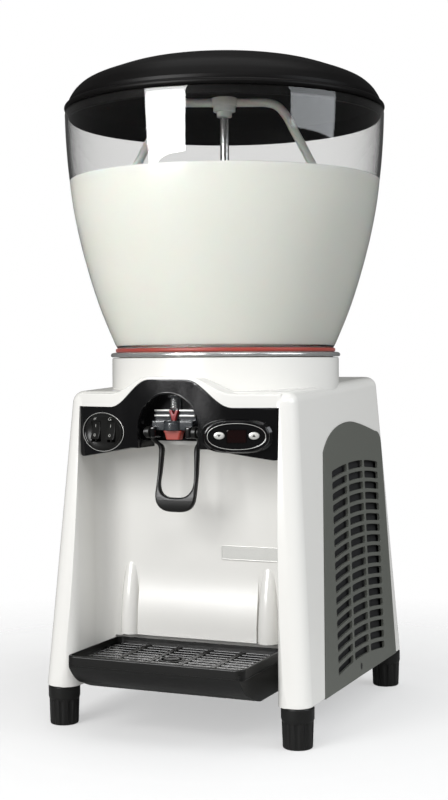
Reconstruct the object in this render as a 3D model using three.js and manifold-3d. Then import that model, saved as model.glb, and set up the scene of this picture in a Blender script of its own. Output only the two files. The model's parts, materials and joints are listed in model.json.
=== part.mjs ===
// Refrigerated drink dispenser: a clear bowl with a slow stirrer on a cooled steel plate,
// over a moulded casing that holds the compressor, the condenser, the fan and the tap.
// Millimetres, +Z up. The origin is on the floor, under the axis of the bowl, and the tap faces -Y.
import * as THREE from 'three';
import { mergeVertices } from 'three/addons/utils/BufferGeometryUtils.js';
import Module from 'manifold-3d';

const wasm = await Module();
wasm.setup();

// Clearance between seated or sliding pieces, and how far a cutting solid runs past its target
const gap = 0.3;
const overrun = 6;

// Facets of large round pieces, of medium ones and of small ones
const wide = 32;
const medium = 20;
const small = 12;
const tiny = 8;

// Screwed plastic feet, one under each corner of the casing
const foot = {
  height: 42, topRadius: 17, bottomRadius: 15.3, x: 134, frontY: -133.5, rearY: 171.7,
  fluteZ: 27, fluteCount: 10, fluteDepth: 1.1, studRadius: 5, studLength: 22, edge: 1.4,
};
const footPlaces = [
  ['foot_front_left', -foot.x, foot.frontY], ['foot_front_right', foot.x, foot.frontY],
  ['foot_rear_left', -foot.x, foot.rearY], ['foot_rear_right', foot.x, foot.rearY],
];

// Moulded casing: four leaning walls, a deck that rises to the rear, and a round neck
const casing = {
  bottomZ: foot.height, deckZ: 357, rearRise: 13, halfWidthTop: 129, halfWidthBottom: 151,
  frontTopY: -131, frontBottomY: -152.4, rearTopY: 169, rearBottomY: 189,
  cornerRadius: 17, deckRound: 11, wall: 4, neckRadius: 127.4, neckTopZ: 393.2,
  ledgeRadius: 111, ledgeZ: 347, ledgeThick: 4,
};
const deckSteps = 3;
const cornerSteps = 3;

// Open bay between the two front legs, with a step and two gussets in its back wall
const bay = {
  halfWidth: 114.6, backY: -78, backCorner: 20, ceilingZ: 301, ceilingFrontY: -117, sillZ: 91,
  sillDepth: 9, mouthRadius: 18.4, mouthY: -134,
};
const apron = { halfWidth: 70, depth: 7, kneeZ: 124, topZ: 144 };
const gusset = { x: 81, radius: 11, depth: 12, topZ: 163, waistDepth: 9.6, waistRadius: 9.9,
  tipRadius: 3.7 };

// Black fascia, bent to a large radius, that rises in an arch over the tap
const fascia = {
  radius: 280, middleY: -155, thick: 4, halfWidth: 114.3, topZ: 341, crownZ: 370, crownHalf: 21,
  shoulderX: 70, endBottomZ: 287, innerBottomZ: 299, innerX: 44, lip: 6, lipThick: 3,
  openingHalf: 34.5, openingTopZ: 355.5, linerWall: 2.5, linerBackY: -130.3, linerBack: 2,
  returnThick: 2,
};
const arcSides = 60;
const dishSegments = 10;
const archSteps = 12;
// White hood of the casing over the fascia, which blends into the neck
const hood = { frontRise: 5, backRise: 17, backY: -112, deckDrop: 1.5, endOverlap: 1.4 };

// Switch dish with two rockers, on the left of the fascia
const switchPlate = {
  x: -80, z: 314.7, halfWidth: 27, halfHeight: 20.2, proud: 0.4, depth: 7, dishDepth: 3.4, rim: 2,
};
const rocker = {
  spread: 11.5, width: 12.4, height: 18.8, windowPlay: 1.7, tilt: 0.174, pivotDepth: 9,
  crestDepth: 0.4, dipDepth: 1.8, backDepth: 12.5, backHalf: 6.5, bodyDepth: 13.5, cavityDepth: 7.4,
  bodyWall: 2,
};

// Display pod with two buttons and a dark red window, on the right of the fascia
const pod = {
  x: 76, z: 312, halfWidth: 35, halfHeight: 17.4, proud: 8.5, faceShare: 0.92, wall: 2.5, sunk: 2.6,
  recessHalfWidth: 30, recessHalfHeight: 13.4, recessDepth: 1.2, squareness: 2.6, points: 20,
};
const button = { spread: 19, halfWidth: 5.5, halfHeight: 3.8, proud: 1.1, length: 6.5, travel: 0.8 };
const ledWindow = { halfWidth: 10, halfHeight: 6.6, thick: 1.6 };
const displayBoard = { thick: 1.6 };

// Bare name plate on the back wall of the bay
const badge = { x: 60.5, z: 184.5, width: 65, height: 15, thick: 1.2, cornerRadius: 1.5 };

// Tap: valve block, outlet pipe, plunger with its spring, nozzle and push handle
const tap = {
  halfWidth: 23.4, frontY: -143, bottomZ: 317.5, shoulderZ: 327.6, topZ: 339, plateY: -134.2,
  ribHeight: 3.2, ribPitch: 5.8, ribDepth: 2.4, slotHalf: 5.9, stemY: -136.9, spigotRadius: 6.5,
  spigotZ: 322, spigotLength: 9, bridgeZ: 351.5, bridgeThick: 3, bridgeHalf: 5.5, bridgeRoot: 2.2,
  boreRadius: 4.2, channelRadius: 3, chamberTopZ: 325.2, lugWidth: 6.4, lugBottomZ: 309.5,
  lugFrontY: -149.5, domeHalf: 9, domeTopHalf: 5.6, domeY: -141.4, domeTopY: -139.9, domeRise: 3.4,
};
const plunger = {
  stemRadius: 2.2, headHalf: 5.4, headTopZ: 338.5, headBottomZ: 328.2, headThick: 4.6,
  sealRadius: 3.9, sealHeight: 2.6,
};
const nozzle = { topHalf: 10, bottomHalf: 7.6, height: 9.5, depth: 11, boreRadius: 3.2 };
const spring = { radius: 2.9, wire: 0.8, turns: 4, stepsPerTurn: 8, sides: 5, finer: 4 };
const handle = {
  pivotZ: 315.5, pivotY: -143.5, bossRadius: 6.2, pinRadius: 2, pinHead: 1.6, bottomZ: 232,
  innerBottomZ: 247, bottomHalf: 23.6, armWidth: 5.4, thick: 8, kneeZ: 262, outerCorner: 17,
  innerCorner: 14, play: 0.4,
};
const pipe = { radius: 7, wall: 1.2, y: -100, bend: 15, sides: 8, steps: 6 };

// Drip tray with its grid and the float that shows when it is full
const tray = {
  halfWidth: 99, frontY: -193, rearY: -76.5, topZ: 86, bandHeight: 12, bottomZ: 43.5,
  kneeY: -137, wall: 2.5, tongueX: 62, tongueWidth: 16, tongueHeight: 5, tongueLength: 44,
  sideCorner: 7, bellyInset: 3.5, bellyBulge: 3, postRadius: 2.6, postTopZ: 69, collarRadius: 5, ledge: 3,
};
const grid = {
  topZ: 80.5, thick: 3, columns: 5, rows: 9, barX: 6, barY: 4.4, edge: 7, holeRadius: 11,
  collarWidth: 3,
};
const float = {
  y: -146, bottomZ: 56.5, stemRadius: 4.8, boreRadius: 3, capRadius: 8.5, capThick: 3, capProud: 1.5,
  bellRadius: 9.5, bellHeight: 6,
};

// Bowl, its outline as shares of the rim radius and of the height above the foot
const bowl = {
  footZ: 403.8, rimZ: 667.5, rimRadius: 179.3, wall: 3, footShare: 0.6804, footInnerShare: 0.6302,
  footThick: 5,
};
const bowlFoot = {
  outer: bowl.rimRadius * bowl.footShare, inner: bowl.rimRadius * bowl.footInnerShare,
};
const bowlOutlineShares = [
  [0.6804, 0], [0.7574, 0.1233], [0.8667, 0.3496], [0.9515, 0.609], [0.9838, 0.7971], [1, 1],
];
const gasketPlay = { inside: 2.5, outside: 2.2 };
const gasket = {
  innerRadius: bowlFoot.inner + gasketPlay.inside, outerRadius: bowlFoot.outer + gasketPlay.outside,
};

// Lid, its dome as shares of the lip radius and of the height above the lip
const lidFit = { proud: 0.7, inside: 0.7, seat: 0.3, rise: 56.5 };
const lid = {
  radius: bowl.rimRadius + lidFit.proud, lipZ: bowl.rimZ + lidFit.seat, lipHeight: 7.4,
  topZ: bowl.rimZ + lidFit.rise, wall: 3,
  skirtRadius: bowl.rimRadius - bowl.wall - lidFit.inside, skirtDepth: 9,
  lipLowShare: 0.33, lipHighShare: 0.67, domeWall: 1.5, innerFrom: 2,
};
const domeShares = [
  [0.961, 0.27], [0.8778, 0.55], [0.7778, 0.69], [0.6111, 0.865], [0.3889, 0.955],
];

// Steel cooling plate with a hollow dome, the coil inside it and the foam under it
const plate = { radius: 126.6, beadRadius: 129, z: 395, thick: 2, beadHeight: 5, beadLowShare: 0.33,
  beadHighShare: 0.67 };
const dome = { radius: 52, wall: 2, topZ: 545, shoulder: 13, slope: 3.9 };
const coil = {
  tube: 4, turns: 5, bottomZ: 414, topZ: 514, sides: 5, steps: 44, play: 0.5, innerRadius: 24,
  crossZ: 398, turnZ: 390, dropZ: 374, returnX: 15, endZ: 300, pointsPerTurn: 10,
};
const foam = { innerRadius: 57, outerRadius: 121, pipePlay: 1.5 };

// Stirrer drive: gear motor under the plate, a shaft inside a steel guide tube
const bracket = { radius: 119, halfDepth: 38, thick: 3 };
const gearbox = { halfWidth: 42, halfDepth: 34, height: 34, motorRadius: 24, motorLength: 52 };
const shaft = { radius: 3, tubeRadius: 5, tubeBore: 3.7, tubeTopZ: 663.4, topZ: 677 };

// Stirrer: hub, two bent arms and the low paddles
const stirrer = {
  azimuth: 0.403, flangeRadius: 15, flangeZ: 676.5, topZ: 685.5, bossRadius: 8.5, bossZ: 664.2,
  barRadius: 4.4, barZ: 681, shoulder: 62, elbow: 98, elbowZ: 606, footZ: 418, toe: 62,
  bend: 8.8, dip: 2, elbowRun: 22, sides: 6, steps: 14,
};

// Side panels with their louvre slots; the outline follows the leaning side wall
const panel = {
  thick: 3.4, proud: 1, frontBottomY: -98, frontTopY: -52, rearY: 156, shoulderZ: 292, peakZ: 320.5,
  peakShare: 0.45, rearShoulderZ: 286, cornerRun: 26, rearCornerRun: 20, windowInset: 7,
};
const slots = {
  rows: 18, columns: 3, firstZ: 268, lastZ: 63, frontY: -30, width: 50, columnPitch: 57, shift: 23,
  height: 7.2, bow: 6,
};
const panelScrew = { radius: 3.4, headThick: 1.6, shankRadius: 1.8, length: 6, y: 24, z: 52 };

// Rear cover with its slots and the mains inlet
const cover = {
  halfWidth: 104, bottomZ: 66, topZ: 318, proud: 5.53, thick: 2, cornerRadius: 14, windowInset: 8,
  slotRows: 9, slotWidth: 60, slotHeight: 6, slotPitch: 16, slotX: 38, slotFirstZ: 160,
};
const inlet = {
  x: -62, z: 96, halfWidth: 24, halfHeight: 13.6, flange: 2, depth: 24, cavityHalfWidth: 12.5,
  cavityHalfHeight: 8, cavityDepth: 16, pinHalf: 1.1, pinHeight: 2, pinSpread: 7,
};

// Base plate and the cooling machinery that stands on it
const base = { thick: 3 };
const compressor = {
  x: 52, y: 78, radius: 56, potHeight: 132, footSpread: 62, footPlate: 2.5, mountRadius: 7,
  mountHeight: 10, crown: 26, waistShare: 0.93, stubRadius: 4.2, stubHeight: 6.5,
};
const condenser = {
  x: -116, thick: 22, y: 46, halfLength: 78, height: 190, frame: 3, finThick: 1.5, finCount: 8,
  tubeRowShares: [1.5, 4.5, 7.5], tubeRadius: 3.5,
};
const fan = {
  radius: 70, shroudThick: 3, shroudDepth: 14, motorRadius: 19, motorLength: 34,
  bladeCount: 5, hubRadius: 15, hubLength: 14, bladeThick: 1.8, bladePitch: 0.5, lip: 4.5,
  spokeWidth: 7,
};
const board = { x: -6, z: 232, halfWidth: 44, halfHeight: 32, thick: 1.6, standoff: 5,
  standoffRadius: 3, partWidth: 14.5, partPitch: 29 };
const boardPartShares = [[-1, 0.5, 0.75], [0, 0.3, 0.55], [1, 0.7, 0.45]];
const drier = { x: -20, y: 160, radius: 9, height: 70, neckRadius: 3.2, neckLength: 12, standZ: 60 };
const line = { radius: 3.2, sides: 6, steps: 14, bend: 17 };

// Leaning walls, as functions of the height
const bodyHeight = casing.deckZ - casing.bottomZ;
const sideLean = (casing.halfWidthBottom - casing.halfWidthTop) / bodyHeight;
const frontLean = (casing.frontTopY - casing.frontBottomY) / bodyHeight;
const rearLean = (casing.rearBottomY - casing.rearTopY) / bodyHeight;
const sideX = (z) => casing.halfWidthTop + (casing.deckZ - z) * sideLean;
const frontY = (z) => casing.frontTopY - (casing.deckZ - z) * frontLean;
const rearY = (z) => casing.rearTopY + (casing.deckZ - z) * rearLean;
const deckRise = (y) => casing.rearRise * (y - casing.frontTopY) / (casing.rearTopY - casing.frontTopY);

// Solids: conversion to and from the boolean library
function faceOut(geometry) {
  const p = geometry.attributes.position;
  const index = geometry.index.array;
  const a = new THREE.Vector3();
  const b = new THREE.Vector3();
  const c = new THREE.Vector3();
  let volume = 0;
  for (let i = 0; i < index.length; i += 3) {
    a.fromBufferAttribute(p, index[i]);
    b.fromBufferAttribute(p, index[i + 1]);
    c.fromBufferAttribute(p, index[i + 2]);
    volume += a.dot(b.cross(c));
  }
  if (volume < 0) {
    for (let i = 0; i < index.length; i += 3) {
      const first = index[i];
      index[i] = index[i + 1];
      index[i + 1] = first;
    }
  }
  return geometry;
}

function bare(geometry) {
  const copy = geometry.clone();
  copy.deleteAttribute('normal');
  copy.deleteAttribute('uv');
  return faceOut(mergeVertices(copy, 1e-4));
}

function toSolid(geometry) {
  const merged = bare(geometry);
  return new wasm.Manifold(new wasm.Mesh({
    numProp: 3,
    vertProperties: new Float32Array(merged.attributes.position.array),
    triVerts: new Uint32Array(merged.index.array),
  }));
}

function toGeometry(solid) {
  const mesh = solid.getMesh();
  const geometry = new THREE.BufferGeometry();
  geometry.setAttribute('position', new THREE.BufferAttribute(mesh.vertProperties, 3));
  geometry.setIndex(new THREE.BufferAttribute(mesh.triVerts, 1));
  return geometry;
}

function join(...pieces) {
  return toGeometry(pieces.map(toSolid).reduce((sum, piece) => sum.add(piece)));
}

function cut(target, ...tools) {
  return toGeometry(tools.map(toSolid).reduce((rest, tool) => rest.subtract(tool), toSolid(target)));
}

function meet(first, second) {
  return toGeometry(toSolid(first).intersect(toSolid(second)));
}

// Shapes: blocks, rods, turned pieces, plates, tubes and lofts
function block(x0, x1, y0, y1, z0, z1) {
  const geometry = new THREE.BoxGeometry(x1 - x0, y1 - y0, z1 - z0);
  return geometry.translate((x0 + x1) / 2, (y0 + y1) / 2, (z0 + z1) / 2);
}

function rod(radius, z0, z1, sides = small, topRadius = radius) {
  const geometry = new THREE.CylinderGeometry(topRadius, radius, z1 - z0, sides);
  return geometry.rotateX(Math.PI / 2).translate(0, 0, (z0 + z1) / 2);
}

function rodAlongX(radius, x0, x1, sides = small) {
  return rod(radius, x0, x1, sides).rotateY(Math.PI / 2);
}

function rodAlongY(radius, y0, y1, sides = small, endRadius = radius) {
  return rod(radius, y0, y1, sides, endRadius).rotateX(-Math.PI / 2);
}

// The profile is a closed loop of [radius, height]
function turned(profile, sides = medium) {
  const points = [...profile, profile[0]].map(([r, z]) => new THREE.Vector2(r, z));
  return bare(new THREE.LatheGeometry(points, sides).rotateX(Math.PI / 2));
}

// The profile runs from the axis to the axis
function turnedSolid(profile, sides = medium) {
  const points = profile.map(([r, z]) => new THREE.Vector2(r, z));
  return bare(new THREE.LatheGeometry(points, sides).rotateX(Math.PI / 2));
}

function shapeOf(points) {
  return new THREE.Shape(points.map(([x, y]) => new THREE.Vector2(x, y)));
}

function ellipseShape(halfWidth, halfHeight) {
  return new THREE.Shape().absellipse(0, 0, halfWidth, halfHeight, 0, 2 * Math.PI, false, 0);
}

function roundedShape(halfWidth, halfHeight, radius) {
  const x = halfWidth - radius;
  const y = halfHeight - radius;
  const shape = new THREE.Shape();
  shape.absarc(x, -y, radius, -Math.PI / 2, 0, false);
  shape.absarc(x, y, radius, 0, Math.PI / 2, false);
  shape.absarc(-x, y, radius, Math.PI / 2, Math.PI, false);
  shape.absarc(-x, -y, radius, Math.PI, 1.5 * Math.PI, false);
  return shape;
}

// A shape drawn in X and Y, thickened upwards
function slab(shape, z0, z1, curveSegments = 3) {
  const settings = { depth: z1 - z0, bevelEnabled: false, curveSegments };
  return new THREE.ExtrudeGeometry(shape, settings).translate(0, 0, z0);
}

// A shape drawn in X and Z, thickened along Y
function standing(shape, y0, y1, curveSegments = 3) {
  return slab(shape, -y1, -y0, curveSegments).rotateX(Math.PI / 2);
}

// A shape drawn in Y and Z, thickened along X
function sideways(shape, x0, x1, curveSegments = 3) {
  return slab(shape, x0, x1, curveSegments).rotateX(Math.PI / 2).rotateZ(Math.PI / 2);
}

function tube(curve, radius, sides, steps) {
  const round = new THREE.Shape();
  for (let i = 0; i < sides; i += 1) {
    const angle = 2 * Math.PI * i / sides;
    const x = radius * Math.cos(angle);
    const y = radius * Math.sin(angle);
    if (i === 0) round.moveTo(x, y);
    else round.lineTo(x, y);
  }
  return bare(new THREE.ExtrudeGeometry(round, { steps, extrudePath: curve, bevelEnabled: false }));
}

function smoothPath(points) {
  return new THREE.CatmullRomCurve3(points.map((p) => new THREE.Vector3(...p)), false, 'centripetal');
}

// Straight runs joined by quadratic bends of the given run length
function bentPath(points, bend) {
  const at = points.map((p) => new THREE.Vector3(...p));
  const path = new THREE.CurvePath();
  let from = at[0];
  for (let i = 1; i < at.length - 1; i += 1) {
    const before = at[i].clone().add(at[i - 1].clone().sub(at[i]).setLength(bend));
    const after = at[i].clone().add(at[i + 1].clone().sub(at[i]).setLength(bend));
    path.add(new THREE.LineCurve3(from, before));
    path.add(new THREE.QuadraticBezierCurve3(before, at[i], after));
    from = after;
  }
  path.add(new THREE.LineCurve3(from, at[at.length - 1]));
  return path;
}

// Sections are rings of the same number of points
function loft(sections) {
  const count = sections[0].length;
  const positions = [];
  const index = [];
  for (const section of sections) {
    for (const p of section) positions.push(...p);
  }
  for (let s = 0; s < sections.length - 1; s += 1) {
    for (let i = 0; i < count; i += 1) {
      const j = (i + 1) % count;
      const low = s * count;
      const high = low + count;
      index.push(low + i, low + j, high + j, low + i, high + j, high + i);
    }
  }
  for (const [section, start, turn] of [[sections[0], 0, true],
    [sections.at(-1), positions.length / 3 - count, false]]) {
    const centre = [0, 1, 2].map((k) => section.reduce((sum, p) => sum + p[k], 0) / count);
    const middle = positions.length / 3;
    positions.push(...centre);
    for (let i = 0; i < count; i += 1) {
      const j = (i + 1) % count;
      if (turn) index.push(middle, start + j, start + i);
      else index.push(middle, start + i, start + j);
    }
  }
  const geometry = new THREE.BufferGeometry();
  geometry.setAttribute('position', new THREE.Float32BufferAttribute(positions, 3));
  geometry.setIndex(index);
  return faceOut(geometry);
}

function mirrorX(geometry) {
  const copy = bare(geometry);
  copy.scale(-1, 1, 1);
  return faceOut(copy);
}

function ringPoints(x, y, z, radius, count) {
  return Array.from({ length: count }, (_, i) => {
    const angle = 2 * Math.PI * i / count;
    return [x + radius * Math.cos(angle), y + radius * Math.sin(angle), z];
  });
}

// Casing walls
function bodyOutline(z, inset) {
  const halfWidth = sideX(z) - inset;
  const front = frontY(z) + inset;
  const rear = rearY(z) - inset;
  const radius = Math.max(casing.cornerRadius - inset, casing.wall);
  const corners = [
    [halfWidth - radius, front + radius, -Math.PI / 2],
    [halfWidth - radius, rear - radius, 0],
    [radius - halfWidth, rear - radius, Math.PI / 2],
    [radius - halfWidth, front + radius, Math.PI],
  ];
  const points = [];
  for (const [x, y, start] of corners) {
    for (let i = 0; i <= cornerSteps; i += 1) {
      const angle = start + Math.PI / 2 * i / cornerSteps;
      points.push([x + radius * Math.cos(angle), y + radius * Math.sin(angle)]);
    }
  }
  return points;
}

// The body, drawn inward by the inset on every side but the bottom, with a rounded sloping deck
function bodySolid(inset, bottomZ = casing.bottomZ) {
  const radius = Math.max(casing.deckRound - inset, casing.wall);
  const topZ = casing.deckZ - inset;
  const sections = [bodyOutline(bottomZ, inset).map(([x, y]) => [x, y, bottomZ])];
  for (let i = 0; i <= deckSteps; i += 1) {
    const angle = Math.PI / 2 * i / deckSteps;
    const z = topZ - radius + radius * Math.sin(angle);
    const shrink = inset + radius * (1 - Math.cos(angle));
    sections.push(bodyOutline(z, shrink).map(([x, y]) => {
      const lifted = z + deckRise(y);
      const narrowed = x * (sideX(lifted) - shrink) / (sideX(z) - shrink);
      const shortened = y > 0 ? y * (rearY(lifted) - shrink) / (rearY(z) - shrink) : y;
      return [narrowed, shortened, lifted];
    }));
  }
  return loft(sections);
}

// The bay between the front legs, grown by a wall thickness when it stands for its own wall
function baySolid(grow) {
  const half = bay.halfWidth + grow;
  const back = bay.backY + grow;
  const corner = bay.backCorner + grow;
  const mouth = bay.mouthRadius - grow;
  const mouthX = bay.halfWidth + bay.mouthRadius;
  const farY = bay.mouthY - bay.mouthRadius - tray.halfWidth;
  const shape = new THREE.Shape();
  shape.moveTo(-mouthX, farY);
  shape.lineTo(mouthX, farY);
  shape.absarc(mouthX, bay.mouthY, mouth, 1.5 * Math.PI, Math.PI, true);
  shape.absarc(half - corner, back - corner, corner, 0, Math.PI / 2, false);
  shape.absarc(corner - half, back - corner, corner, Math.PI / 2, Math.PI, false);
  shape.absarc(-mouthX, bay.mouthY, mouth, 0, -Math.PI / 2, true);
  const upper = slab(shape, casing.bottomZ - overrun, bay.ceilingZ + grow);
  const sillHalf = half - corner / 2;
  const sill = block(-sillHalf, sillHalf, back - corner, back + bay.sillDepth,
    casing.bottomZ - overrun, bay.sillZ + grow);
  return join(upper, sill);
}

// The lower middle of the back wall stands forward, between two tapering gussets
function apronSolid() {
  const rear = bay.backY + overrun;
  const front = bay.backY - apron.depth;
  const profile = shapeOf([
    [rear, bay.sillZ], [front, bay.sillZ], [front, apron.kneeZ], [bay.backY, apron.topZ],
    [rear, apron.topZ],
  ]);
  return sideways(profile, -apron.halfWidth, apron.halfWidth);
}

function gussetSolid(side) {
  const frontOf = (depth, radius) => bay.backY - depth + radius;
  const x = side * gusset.x;
  const waistZ = (bay.sillZ + gusset.topZ) / 2;
  return loft([
    ringPoints(x, frontOf(gusset.depth, gusset.radius), bay.sillZ, gusset.radius, small),
    ringPoints(x, frontOf(gusset.waistDepth, gusset.waistRadius), waistZ, gusset.waistRadius, small),
    ringPoints(x, frontOf(0, gusset.tipRadius), gusset.topZ, gusset.tipRadius, small),
  ]);
}

// Fascia outlines and the cylinder that bends them
const arcCentreY = fascia.middleY + fascia.radius;
const lowZ = fascia.endBottomZ - overrun;
const highZ = fascia.crownZ + casing.deckRound + hood.backRise;

function bend(inward) {
  return rod(fascia.radius - inward, lowZ, highZ, arcSides).translate(0, arcCentreY, 0);
}

function archTop(x, sideZ, crownZ) {
  const run = Math.min(Math.max((Math.abs(x) - fascia.crownHalf) / (fascia.shoulderX
    - fascia.crownHalf), 0), 1);
  return sideZ + (crownZ - sideZ) * (1 + Math.cos(Math.PI * run)) / 2;
}

function archLine(half, sideZ, crownZ) {
  return Array.from({ length: archSteps + 1 }, (_, i) => {
    const x = half - 2 * half * i / archSteps;
    return [x, archTop(x, sideZ, crownZ)];
  });
}

function fasciaBottom(drop) {
  return [
    [-fascia.halfWidth - drop, fascia.endBottomZ - drop], [-fascia.innerX, fascia.innerBottomZ - drop],
    [fascia.innerX, fascia.innerBottomZ - drop], [fascia.halfWidth + drop, fascia.endBottomZ - drop],
  ];
}

function fasciaShape(grow) {
  const top = archLine(fascia.halfWidth + grow, fascia.topZ + grow, fascia.crownZ + grow);
  return shapeOf([...fasciaBottom(grow), ...top]);
}

// A tunnel shape with a round top
function tunnelShape(half, topZ, bottomZ) {
  const shape = new THREE.Shape();
  shape.moveTo(-half, bottomZ);
  shape.lineTo(half, bottomZ);
  shape.absarc(0, topZ - half, half, 0, Math.PI, false);
  return shape;
}

// The hood over the fascia, drawn inward by the inset
function hoodSolid(inset, bottomZ) {
  const half = bay.halfWidth + hood.endOverlap - inset;
  const sideZ = casing.deckZ - hood.deckDrop - inset;
  const ring = (y, rise) => [[-half, bottomZ], [half, bottomZ],
    ...archLine(half, sideZ, fascia.crownZ + rise - inset)]
    .map(([x, z]) => [x, y, z]);
  const grown = loft([ring(fascia.middleY - overrun, hood.frontRise),
    ring(hood.backY - inset, hood.backRise)]);
  return meet(grown, bend(inset ? fascia.thick + gap + fascia.lipThick : 0));
}

// A side panel outline in Y and in height up the slope, grown by the given amount
const sideTilt = Math.atan(sideLean);
const upSide = (z) => (z - casing.bottomZ) / Math.cos(sideTilt);

function panelShape(grow, bottomZ = casing.bottomZ) {
  const shape = new THREE.Shape();
  const shoulder = upSide(panel.shoulderZ);
  const rearShoulder = upSide(panel.rearShoulderZ);
  const peak = upSide(panel.peakZ) + grow;
  const peakY = panel.frontTopY + (panel.rearY - panel.frontTopY) * panel.peakShare;
  shape.moveTo(panel.rearY + grow, upSide(bottomZ));
  shape.lineTo(panel.rearY + grow, rearShoulder);
  shape.quadraticCurveTo(panel.rearY + grow, rearShoulder + panel.rearCornerRun,
    panel.rearY - panel.rearCornerRun, rearShoulder + panel.rearCornerRun + grow);
  shape.quadraticCurveTo(peakY + panel.cornerRun, peak, peakY, peak);
  shape.quadraticCurveTo(panel.frontTopY + panel.cornerRun, peak - grow, panel.frontTopY - grow, shoulder);
  const slope = (panel.frontTopY - panel.frontBottomY) / (panel.shoulderZ - casing.bottomZ);
  shape.lineTo(panel.frontBottomY - grow + slope * (bottomZ - casing.bottomZ), upSide(bottomZ));
  return shape;
}

function slotHole(row, column) {
  const run = row / (slots.rows - 1);
  const shift = slots.shift * run;
  const z = upSide(slots.firstZ + (slots.lastZ - slots.firstZ) * run);
  const start = slots.frontY - shift + column * slots.columnPitch;
  const middle = slots.frontY - shift + (slots.columns - 1) * slots.columnPitch / 2 + slots.width / 2;
  const reach = middle - (slots.frontY - shift);
  const bow = (y) => slots.bow * (1 - ((y - middle) / reach) ** 2);
  const ys = [start, start + slots.width];
  const low = ys.map((y) => new THREE.Vector2(y, z + bow(y)));
  const high = ys.map((y) => new THREE.Vector2(y, z + bow(y) + slots.height)).reverse();
  return new THREE.Path([...low, ...high]);
}

// Puts a piece drawn on the right side wall in its place: X is the depth out of the wall
function ontoSide(geometry) {
  const along = new THREE.Vector3(0, 1, 0);
  const up = new THREE.Vector3(-Math.sin(sideTilt), 0, Math.cos(sideTilt));
  const out = new THREE.Vector3(Math.cos(sideTilt), 0, Math.sin(sideTilt));
  const place = new THREE.Matrix4().makeBasis(along, up, out);
  place.setPosition(casing.halfWidthBottom, 0, casing.bottomZ);
  return geometry.clone().applyMatrix4(place);
}

function sidePanel() {
  const shape = panelShape(0);
  for (let row = 0; row < slots.rows; row += 1) {
    for (let column = 0; column < slots.columns; column += 1) shape.holes.push(slotHole(row, column));
  }
  const plain = slab(shape, panel.proud - panel.thick, panel.proud);
  const hole = rod(panelScrew.shankRadius + gap, -panel.thick - overrun, overrun, tiny)
    .translate(panelScrew.y, upSide(panelScrew.z), 0);
  const sink = rod(panelScrew.radius + gap, panel.proud - panelScrew.headThick - gap, overrun, small)
    .translate(panelScrew.y, upSide(panelScrew.z), 0);
  return ontoSide(cut(plain, hole, sink));
}

function panelScrewSolid() {
  const head = rod(panelScrew.radius, panel.proud - panelScrew.headThick, panel.proud, small);
  const shank = rod(panelScrew.shankRadius, panel.proud - panelScrew.headThick - panelScrew.length,
    panel.proud, tiny);
  return ontoSide(join(head, shank).translate(panelScrew.y, upSide(panelScrew.z), 0));
}

// The seat and the window that the casing has for a side panel
function panelSeat() {
  const floor = panel.proud - panel.thick - gap;
  const seat = slab(panelShape(gap, casing.bottomZ - overrun), floor, overrun);
  const window = slab(panelShape(-panel.windowInset, casing.bottomZ + panel.windowInset),
    floor - casing.wall - overrun, overrun);
  const bridgeY = panelScrew.radius + panel.windowInset;
  const bridge = slab(shapeOf([
    [panelScrew.y - bridgeY, upSide(casing.bottomZ - overrun)], [panelScrew.y + bridgeY,
      upSide(casing.bottomZ - overrun)],
    [panelScrew.y + bridgeY, upSide(panelScrew.z) + bridgeY], [panelScrew.y - bridgeY,
      upSide(panelScrew.z) + bridgeY],
  ]), floor - casing.wall - 2 * overrun, floor);
  const screwHole = rod(panelScrew.shankRadius + gap, -panelScrew.length - overrun, overrun, tiny)
    .translate(panelScrew.y, upSide(panelScrew.z), 0);
  return ontoSide(join(seat, cut(window, bridge), screwHole));
}

// Rear wall: X runs to the left, seen from the front, and Z is the depth out of the wall
const rearTilt = Math.atan(rearLean);
const upRear = (z) => (z - casing.bottomZ) / Math.cos(rearTilt);

function ontoRear(geometry) {
  const along = new THREE.Vector3(-1, 0, 0);
  const up = new THREE.Vector3(0, -Math.sin(rearTilt), Math.cos(rearTilt));
  const out = new THREE.Vector3(0, Math.cos(rearTilt), Math.sin(rearTilt));
  const place = new THREE.Matrix4().makeBasis(along, up, out);
  place.setPosition(0, casing.rearBottomY, casing.bottomZ);
  return geometry.clone().applyMatrix4(place);
}

function coverShape(grow) {
  const low = upRear(cover.bottomZ);
  const high = upRear(cover.topZ);
  return roundedShape(cover.halfWidth + grow, (high - low) / 2 + grow, cover.cornerRadius + grow);
}

function coverSlab(grow, z0, z1) {
  const middle = (upRear(cover.bottomZ) + upRear(cover.topZ)) / 2;
  return slab(coverShape(grow), z0, z1).translate(0, middle, 0);
}

function rearCover() {
  const shell = cut(coverSlab(0, gap, cover.proud),
    coverSlab(-cover.windowInset, 0, cover.proud - cover.thick));
  const holes = [];
  for (let row = 0; row < cover.slotRows; row += 1) {
    const low = upRear(cover.slotFirstZ + row * cover.slotPitch);
    for (const side of [-1, 1]) {
      const x = side * cover.slotX;
      holes.push(block(x - cover.slotWidth / 2, x + cover.slotWidth / 2, low, low + cover.slotHeight, 0,
        overrun));
    }
  }
  const hole = slab(roundedShape(inlet.halfWidth + gap, inlet.halfHeight + gap, inlet.flange), 0, overrun)
    .translate(-inlet.x, upRear(inlet.z), 0);
  return ontoRear(cut(shell, ...holes, hole));
}

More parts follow.
